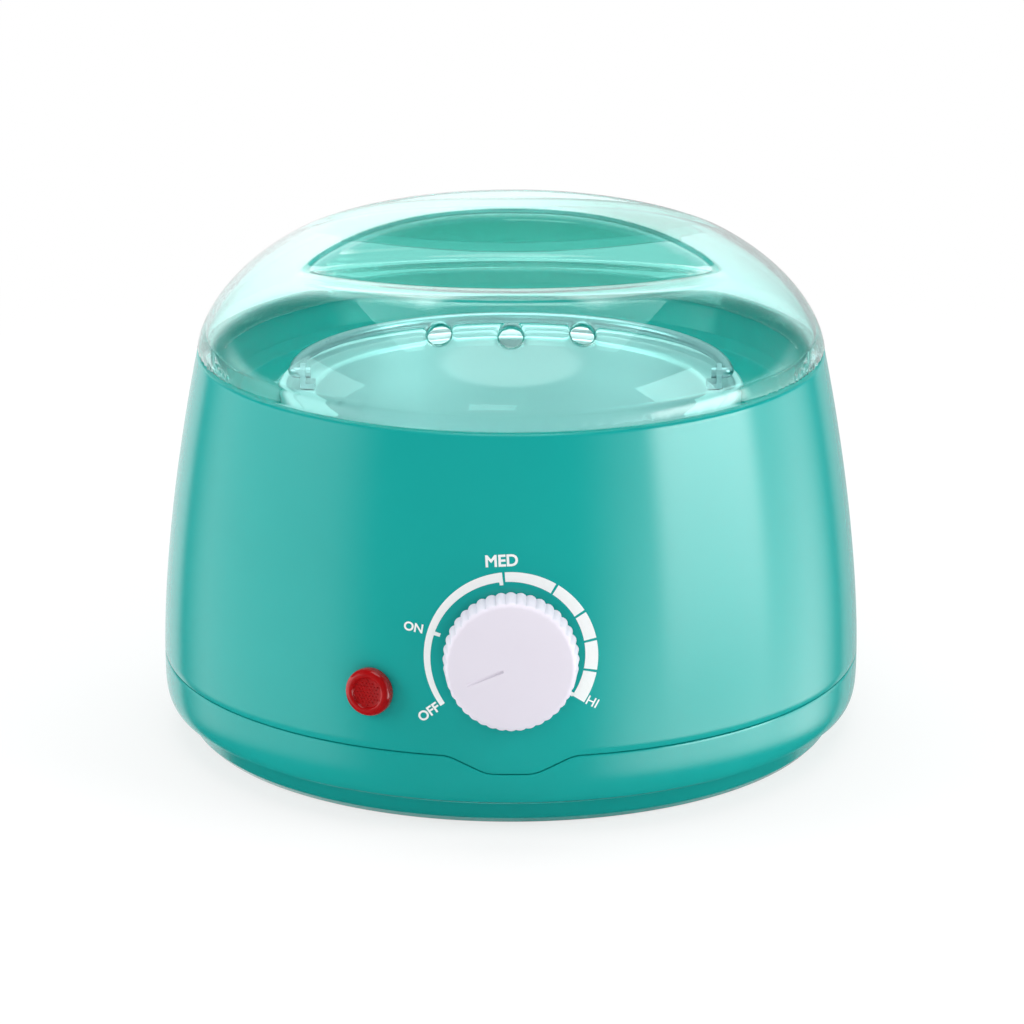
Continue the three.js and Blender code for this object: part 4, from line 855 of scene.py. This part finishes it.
def foot_pads():
    outline = rounded([
        (0, 0, 0), (6.5, 0, 0.5), (6.5, 1.8, 0.2), (2.4, 1.8, 0), (2.4, 4.6, 0), (3.4, 4.6, 0.3),
        (2.4, 7.2, 0.5), (0, 7.2, 0),
    ])
    first = turned("rubber_pad_1", outline, 64)
    pads = [first]
    for i in range(1, 4):
        pads.append(copied(first, f"rubber_pad_{i + 1}", Matrix.Rotation(i * TURN / 4, 4, "Z")))
    for i, pad in enumerate(pads):
        turn = i * TURN / 4
        moved(pad, Matrix.Translation(Vector((math.cos(turn), math.sin(turn), 0)) * FOOT_CIRCLE * MM))
        finished(pad, "root", FINISHES["rubber"], "rubber", f"rubber_foot_{i + 1}")


def gland():
    outline = rounded([
        (3.6, -15.7, 0), (5.0, -15.7, 0.4), (5.0, 0.3, 0), (7.2, 0.3, 0.3), (7.2, 2.3, 0.7),
        (5.7, 2.3, 0.5), (5.3, 8.6, 0.8), (3.6, 8.6, 0.8),
    ])
    obj = turned("cable_gland", outline, 96, closed=True)
    moved(obj, on_gland_axis(GLAND_FACE))
    return finished(obj, "root", FINISHES["black_plastic"], "black_plastic", "cord_gland")


# Lid

def dome_rise(radius, foot, rise):
    return rise * (1 - (radius / foot) ** DOME_SIDE_POWER) ** (1 / DOME_TOP_POWER)


def dome(name, radius, rise, foot_z, fillet):
    outline = rounded([(0, foot_z, 0), (radius - 0.001, foot_z, fillet), (radius, foot_z + 2, 0)])[:-1]
    for turn in np.linspace(0, math.pi / 2, 65)[1:-1]:
        z = RIM_Z + rise * math.sin(turn) ** (2 / DOME_TOP_POWER)
        if z > foot_z + 1:
            outline.append(Vector((radius * math.cos(turn) ** (2 / DOME_SIDE_POWER), z)))
    outline.append(Vector((0, RIM_Z + rise)))
    return turned(name, outline, LID_SIDES)


def scoop_floor():
    """Height of a scoop's floor at the bar, and the slope at which it runs up to the dome."""
    outer_y = SCOOP_RADIUS - SCOOP_CENTRE
    end_z = RIM_Z + dome_rise(outer_y, RIM_RADIUS, LID_RISE)
    start_z = RIM_Z + dome_rise(BAR_HALF, RIM_RADIUS, LID_RISE) - SCOOP_DEPTH
    return start_z, math.atan2(end_z - start_z, outer_y - BAR_HALF)


def scoop(grow, turn):
    """The space of a finger scoop, larger by a wall for the lid's inside."""
    start_z, tilt = scoop_floor()
    obj = rod(SCOOP_RADIUS + grow, 110, 150, 240, at=(0, SCOOP_CENTRE))
    edge = rod(BAR_EDGE_RADIUS + grow, 108, 152, 480, at=(0, -BAR_HALF - BAR_EDGE_RADIUS))
    combined(obj, "INTERSECT", edge)
    editing(obj)
    bpy.ops.mesh.bisect(
        plane_co=(0, -BAR_HALF * MM, start_z * MM - grow * MM / math.cos(tilt)),
        plane_no=(0, math.sin(tilt), math.cos(tilt)),
        use_fill=True, clear_inner=True,
    )
    weld()
    done()
    return moved(obj, Matrix.Rotation(turn, 4, "Z"))


def vent_places():
    """The three vents' axes, square to the dome."""
    share = VENT_RISE / LID_RISE
    radius = RIM_RADIUS * (1 - share ** DOME_TOP_POWER) ** (1 / DOME_SIDE_POWER)
    slope = dome_rise(radius - 1, RIM_RADIUS, LID_RISE) - dome_rise(radius + 1, RIM_RADIUS, LID_RISE)
    spread = math.asin(VENT_SPACING / radius)
    return [
        Matrix.Rotation(side * spread, 4, "Z")
        @ Matrix.Translation((0, -radius * MM, (RIM_Z + VENT_RISE) * MM))
        @ Matrix.Rotation(math.atan(slope / 2), 4, "X")
        for side in (-1, 0, 1)
    ]


def soft_max(first, second, blend):
    """The larger of two distances, rounded off where they are nearly alike."""
    share = np.maximum(blend - np.abs(first - second), 0) / blend
    return np.maximum(first, second) + share * share * blend / 4


def dome_distance(r, z, inset):
    radius, rise = RIM_RADIUS - inset, LID_RISE - inset
    up = np.maximum(z - RIM_Z, 0.01)
    value = (r / radius) ** DOME_SIDE_POWER + (up / rise) ** DOME_TOP_POWER - 1
    by_r = DOME_SIDE_POWER / radius * (r / radius) ** (DOME_SIDE_POWER - 1)
    by_z = DOME_TOP_POWER / rise * (up / rise) ** (DOME_TOP_POWER - 1)
    return value / np.hypot(by_r, by_z)


def scoop_distance(x, y, z, grow):
    """Distance from either scoop's space, which lies between two arcs and over a sloping floor."""
    start_z, tilt = scoop_floor()
    front = -np.abs(y)
    arc = np.hypot(x, front - SCOOP_CENTRE) - SCOOP_RADIUS - grow
    edge = np.hypot(x, front + BAR_HALF + BAR_EDGE_RADIUS) - BAR_EDGE_RADIUS - grow
    floor = -(front + BAR_HALF) * math.sin(tilt) - (z - start_z) * math.cos(tilt) - grow
    return soft_max(soft_max(arc, edge, SCOOP_CORNER_ROUND), floor, SCOOP_FLOOR_ROUND)


def lid_distance(points):
    """Distance from the lid's wall, less than nothing inside the plastic."""
    x, y, z = points.T
    r = np.hypot(x, y)
    outside = soft_max(dome_distance(r, z, 0), -scoop_distance(x, y, z, 0), EDGE_ROUND)
    hollow = soft_max(dome_distance(r, z, LID_WALL), -scoop_distance(x, y, z, LID_WALL), EDGE_ROUND)
    wall = np.maximum(outside, -hollow)
    for place in vent_places():
        local = (points * MM - np.array(place.translation)) @ np.array(place.to_3x3()) / MM
        wall = soft_max(wall, VENT_RADIUS - np.hypot(local[:, 0], local[:, 1]), VENT_ROUND)
    return wall


def drawn_to_wall(points, low, high):
    """Draws points onto the lid's exact wall, fully above one height and not at all below another."""
    pull = np.clip((points[:, 2] - low) / (high - low), 0, 1)
    for _ in range(5):
        value = lid_distance(points)
        rises = [lid_distance(points + step) - lid_distance(points - step) for step in np.eye(3) * PROBE]
        slope = np.stack(rises, 1) / (2 * PROBE)
        length = np.maximum((slope ** 2).sum(axis=1), 0.05)
        points -= slope * (np.clip(value, -0.6, 0.6) * pull / length)[:, None]


def lid():
    obj = dome("clear_lid", RIM_RADIUS, LID_RISE, LID_Z, 0.7)
    combined(obj, "DIFFERENCE", scoop(0, 0), scoop(0, math.pi))
    hollow = dome("lid hollow", RIM_RADIUS - LID_WALL, LID_RISE - LID_WALL, LID_Z - 1, 0)
    combined(hollow, "DIFFERENCE", scoop(LID_WALL, 0), scoop(LID_WALL, math.pi))
    combined(obj, "DIFFERENCE", hollow)
    lip = turned("lip", rounded([
        (75.9, LID_Z - LIP_DROP, 0.3), (77.5, LID_Z - LIP_DROP, 0.4), (79.6, LID_Z, 0),
        (81.5, LID_Z, 0), (81.5, LID_Z + 3.0, 0), (78.0, LID_Z + 3.0, 0.5),
    ]), LID_SIDES, closed=True)
    combined(obj, "UNION", lip)
    combined(obj, "DIFFERENCE", merged(*[moved(rod(VENT_RADIUS, -5, 5), place) for place in vent_places()]))
    applied(obj, "REMESH", mode="VOXEL", voxel_size=LID_VOXEL * MM)
    applied(obj, "SMOOTH", factor=0.5, iterations=5)
    points = points_of(obj)
    drawn_to_wall(points, LID_Z + 3.0, LID_Z + 6.0)
    put_points(obj, points)
    return finished(obj, "lid", FINISHES["clear_lid"], "clear_lid", "lid", angle=80)


# Pot, bail and well

def pot():
    floor_radius = POT_RADIUS - 1.6
    top = POT_FLANGE_Z
    outline = rounded([
        (0, POT_FLOOR_Z, 0), (floor_radius, POT_FLOOR_Z, 5.0), (POT_RADIUS, top, 0.6),
        (POT_FLANGE_RADIUS, top, 0.9), (POT_FLANGE_RADIUS, top + 2.4, 1.1),
        (POT_FLANGE_RADIUS - 2.4, top + 2.4, 1.1), (POT_FLANGE_RADIUS - 3.6, top + POT_WALL, 0.8),
        (POT_RADIUS - POT_WALL, top + POT_WALL, 1.2), (floor_radius - POT_WALL, POT_FLOOR_Z + POT_WALL, 3.8),
        (0, POT_FLOOR_Z + POT_WALL, 0),
    ], steps=7)
    return finished(turned("pot_cup", outline, 192), "pot", FINISHES["aluminium"], "aluminium", "pot")


def heated_well():
    outline = rounded([
        (0, WELL_FOOT_Z, 0),
        (WELL_RADIUS, WELL_FOOT_Z, 1.5),
        (WELL_RADIUS, WELL_FLANGE_Z, 0.6),
        (WELL_FLANGE_RADIUS, WELL_FLANGE_Z, 0.4),
        (WELL_FLANGE_RADIUS, WELL_FLANGE_TOP_Z, 0.4),
        (WELL_RADIUS, WELL_FLANGE_TOP_Z, 0.6),
        (WELL_RADIUS, WELL_RIM_Z, 0.4),
        (WELL_INNER_RADIUS, WELL_RIM_Z, 0.5),
        (WELL_INNER_RADIUS, WELL_FLOOR_Z, 1.5),
        (0, WELL_FLOOR_Z, 0),
    ])
    obj = turned("heated_well", outline, 128)
    holes = four_rods(WELL_SCREW_HOLE, 78, 83, WELL_SCREW_CIRCLE, sides=24)
    holes.append(rod(WELL_SCREW_HOLE, 24, 28.6, 24, at=(0, 26.3)))
    combined(obj, "DIFFERENCE", *holes)
    return finished(obj, "root", FINISHES["aluminium"], "aluminium", "heating_well")


def bail():
    """A wire bent by hand: a pin, an elbow, the half hoop, an elbow and a pin."""
    reach = BAIL_RADIUS - BAIL_BEND
    pin = {"value": ((reach - BAIL_PIN) * MM, 0, 0)}
    bpy.ops.object.select_all(action="DESELECT")
    bpy.ops.mesh.primitive_circle_add(
        vertices=20, radius=BAIL_WIRE * MM, fill_type="NGON",
        location=(BAIL_PIN * MM, 0, BAIL_Z * MM), rotation=(0, math.pi / 2, 0),
    )
    obj = bpy.context.active_object
    obj.name = "bail_wire"
    editing(obj)
    bpy.ops.mesh.extrude_region_move(TRANSFORM_OT_translate=pin)
    for x, sweep, steps in ((reach, math.pi / 2, 6), (0, math.pi, 72), (-reach, math.pi / 2, 6)):
        centre = Vector((x, BAIL_BEND, BAIL_Z)) * MM
        bpy.ops.mesh.spin(steps=steps, angle=-sweep, center=centre, axis=(0, 0, 1))
    bpy.ops.mesh.extrude_region_move(TRANSFORM_OT_translate=pin)
    bpy.ops.mesh.select_all(action="SELECT")
    bpy.ops.transform.resize(value=(1, BAIL_FLATTENING, 1), center_override=(0, BAIL_BEND * MM, 0))
    weld()
    outward()
    done()
    return finished(obj, "bail", FINISHES["steel"], "steel", "bail")


# Knob and dial

def scalloped(obj, count, depth, low, high):
    """Draws the side of a turned piece in between its lobes."""
    points = points_of(obj)
    radius = np.hypot(points[:, 0], points[:, 1])
    turn = np.arctan2(points[:, 1], points[:, 0])
    fade = np.clip((high - points[:, 2]) / 1.6, 0, 1) * (radius > low)
    lobes = 1 - np.abs(np.cos(turn * count / 2)) ** 0.8
    scale = 1 - depth * lobes * fade / np.maximum(radius, 1e-6)
    points[:, 0] *= scale
    points[:, 1] *= scale
    put_points(obj, points)


def knob():
    outline = rounded([
        (0, KNOB_TOP + 0.49, 0), (9, KNOB_TOP + 0.34, 0),
        (KNOB_FACE_RADIUS, KNOB_TOP, 1.5), (KNOB_RADIUS, KNOB_GAP, 0.3),
        (15.2, KNOB_GAP, 0.3), (14.5, KNOB_WEB, 0.6),
        (KNOB_HUB_RADIUS, KNOB_WEB, 0.6), (KNOB_HUB_RADIUS, KNOB_HUB_FOOT, 0.3),
        (KNOB_BORE_RADIUS, KNOB_HUB_FOOT, 0.2), (KNOB_BORE_RADIUS, KNOB_WEB, 0), (0, KNOB_WEB, 0),
    ])
    obj = turned("knob_cap", outline, 400)
    scalloped(obj, KNOB_FLUTES, KNOB_FLUTE_DEPTH, 15.6, KNOB_TOP + 0.1)
    groove = slab((9.7, 0.75, 2.0), (6.9, 0, KNOB_TOP + 1.05))
    applied(groove, "BEVEL", width=0.12 * MM, segments=2)
    combined(obj, "DIFFERENCE", moved(groove, Matrix.Rotation(POINTER_TURN, 4, "Z")))
    moved(obj, on_wall(0, DIAL_Z))
    return finished(obj, "knob", FINISHES["white_knob"], "white_knob", "knob")


def onto_wall(obj, place, proud):
    """Bends a flat print, drawn in the place's X and Y, onto the wall."""
    points = points_of(obj)
    for i, (x, y, height) in enumerate(points):
        out = 0.0
        for _ in range(6):
            p = place @ Vector((x * MM, y * MM, out * MM)) / MM
            out -= math.hypot(p.x, p.y) - wall_radius(p.z)
        p = place @ Vector((x * MM, y * MM, (out + proud + height) * MM)) / MM
        points[i] = p
    put_points(obj, points)


def scale_inner(angle):
    """Inner radius of the scale's band, which widens from its start to its end."""
    return SCALE_RADIUS - (1.35 + 2.15 * (SCALE_START - angle) / (SCALE_START - SCALE_END))


def strip(start, end, outer=SCALE_RADIUS, deeper=0.0):
    """A stretch of the scale between two angles, as wide as its band and more by a depth inwards."""
    steps = max(1, round(abs(end - start) / 2.0))
    bpy.ops.object.select_all(action="DESELECT")
    bpy.ops.mesh.primitive_grid_add(x_subdivisions=steps, y_subdivisions=2, size=1)
    obj = bpy.context.active_object
    points = points_of(obj) * MM
    for i, (x, y, _) in enumerate(points):
        angle = start + (end - start) * (x + 0.5)
        inner = scale_inner(angle) - deeper
        radius = inner + (outer - inner) * (y + 0.5)
        points[i] = (radius * math.cos(math.radians(angle)), radius * math.sin(math.radians(angle)), 0)
    put_points(obj, points)
    return obj


def bolder(obj, width):
    """Moves the outline of flat letters outwards, corner by corner."""
    mesh = obj.data
    uses = Counter(key for face in mesh.polygons for key in face.edge_keys)
    ways = {}
    for face in mesh.polygons:
        corners = list(face.vertices)
        for start, end in zip(corners, corners[1:] + corners[:1]):
            if uses[min(start, end), max(start, end)] == 1:
                along = (mesh.vertices[end].co - mesh.vertices[start].co).normalized()
                for corner in (start, end):
                    ways[corner] = ways.get(corner, Vector()) + along.cross(face.normal)
    for corner, way in ways.items():
        mesh.vertices[corner].co += way * (2 * width / max(way.length_squared, 1))
    mesh.update()


def legend(text, angle, radius, size, lean, bold=LETTER_BOLDNESS):
    bpy.ops.object.select_all(action="DESELECT")
    bpy.ops.object.text_add()
    obj = bpy.context.active_object
    obj.data.body = text
    obj.data.align_x = "CENTER"
    obj.data.align_y = "CENTER"
    obj.data.resolution_u = 6
    bpy.ops.object.convert(target="MESH")
    obj = bpy.context.active_object
    editing(obj)
    bpy.ops.mesh.remove_doubles(threshold=0.001)
    bolder(done(), bold)
    turn = math.radians(angle)
    place = Matrix.Translation((radius * math.cos(turn) * MM, radius * math.sin(turn) * MM, 0))
    return moved(obj, place @ Matrix.Rotation(math.radians(lean), 4, "Z") @ Matrix.Scale(size * MM, 4))


def dial_print():
    cuts = [95, 58, 32, 11.4, -10.5]
    parts = [strip(SCALE_START, cuts[0] + SCALE_CUT)]
    for start, end in zip(cuts, cuts[1:] + [SCALE_END - SCALE_CUT]):
        parts.append(strip(start - SCALE_CUT, end + SCALE_CUT))
    for angle, half, depth in ((163, 1.4, 1.5), (97.2, 1.4, 0.8), (-32.2, 1.6, 1.4)):
        parts.append(strip(angle + half, angle - half, scale_inner(angle) + 0.1, depth))
    parts.append(legend("OFF", 215.5, 25.1, 3.4, 37))
    parts.append(legend("ON", 164, 25.2, 3.1, -9))
    parts.append(legend("MED", 95.5, 24.5, 4.1, 3))
    parts.append(legend("HI", -30.5, 23.5, 3.4, -28, bold=0.008))
    obj = merged(*parts)
    obj.name = "dial_print"
    onto_wall(obj, on_wall(0, DIAL_Z), INK_GAP)
    applied(obj, "SOLIDIFY", thickness=INK_DEPTH * MM, offset=1.0)
    return finished(obj, "root", INK, "white_knob", angle=30)


# Lamp

def lamp_lens():
    outline = rounded([
        (0, 1.4, 0), (3.7, 0.7, 0), (3.7, -9, 0), (4.7, -9, 0.3), (4.7, 0.1, 0), (6.1, 0.1, 0.2),
        (6.1, 2.9, 1.3), (4.0, 2.9, 0.5), (3.7, 2.3, 0.2), (0, 2.3, 0),
    ])
    obj = turned("lamp_lens", outline, 96)
    for row, column in itertools.product(range(-4, 5), repeat=2):
        x, y = (column + 0.5 * (row % 2)) * DIMPLE_PITCH, row * DIMPLE_PITCH * 0.866
        if math.hypot(x, y) < DIMPLED_RADIUS:
            bpy.ops.object.select_all(action="DESELECT")
            bpy.ops.mesh.primitive_cone_add(
                vertices=8, radius1=0.34 * MM, radius2=0.16 * MM, depth=0.42 * MM,
                location=(x * MM, y * MM, 2.35 * MM),
            )
            merged(obj, bpy.context.active_object)
    moved(obj, on_wall(LAMP_TURN, LAMP_Z))
    return finished(obj, "root", FINISHES["red_lens"], "red_lens", "indicator_lens")


camera()
studio()
floor()
upper_casing()
base()
foot_pads()
gland()
lid()
pot()
heated_well()
bail()
knob()
dial_print()
lamp_lens()

bpy.context.scene.view_settings.view_transform = "Standard"
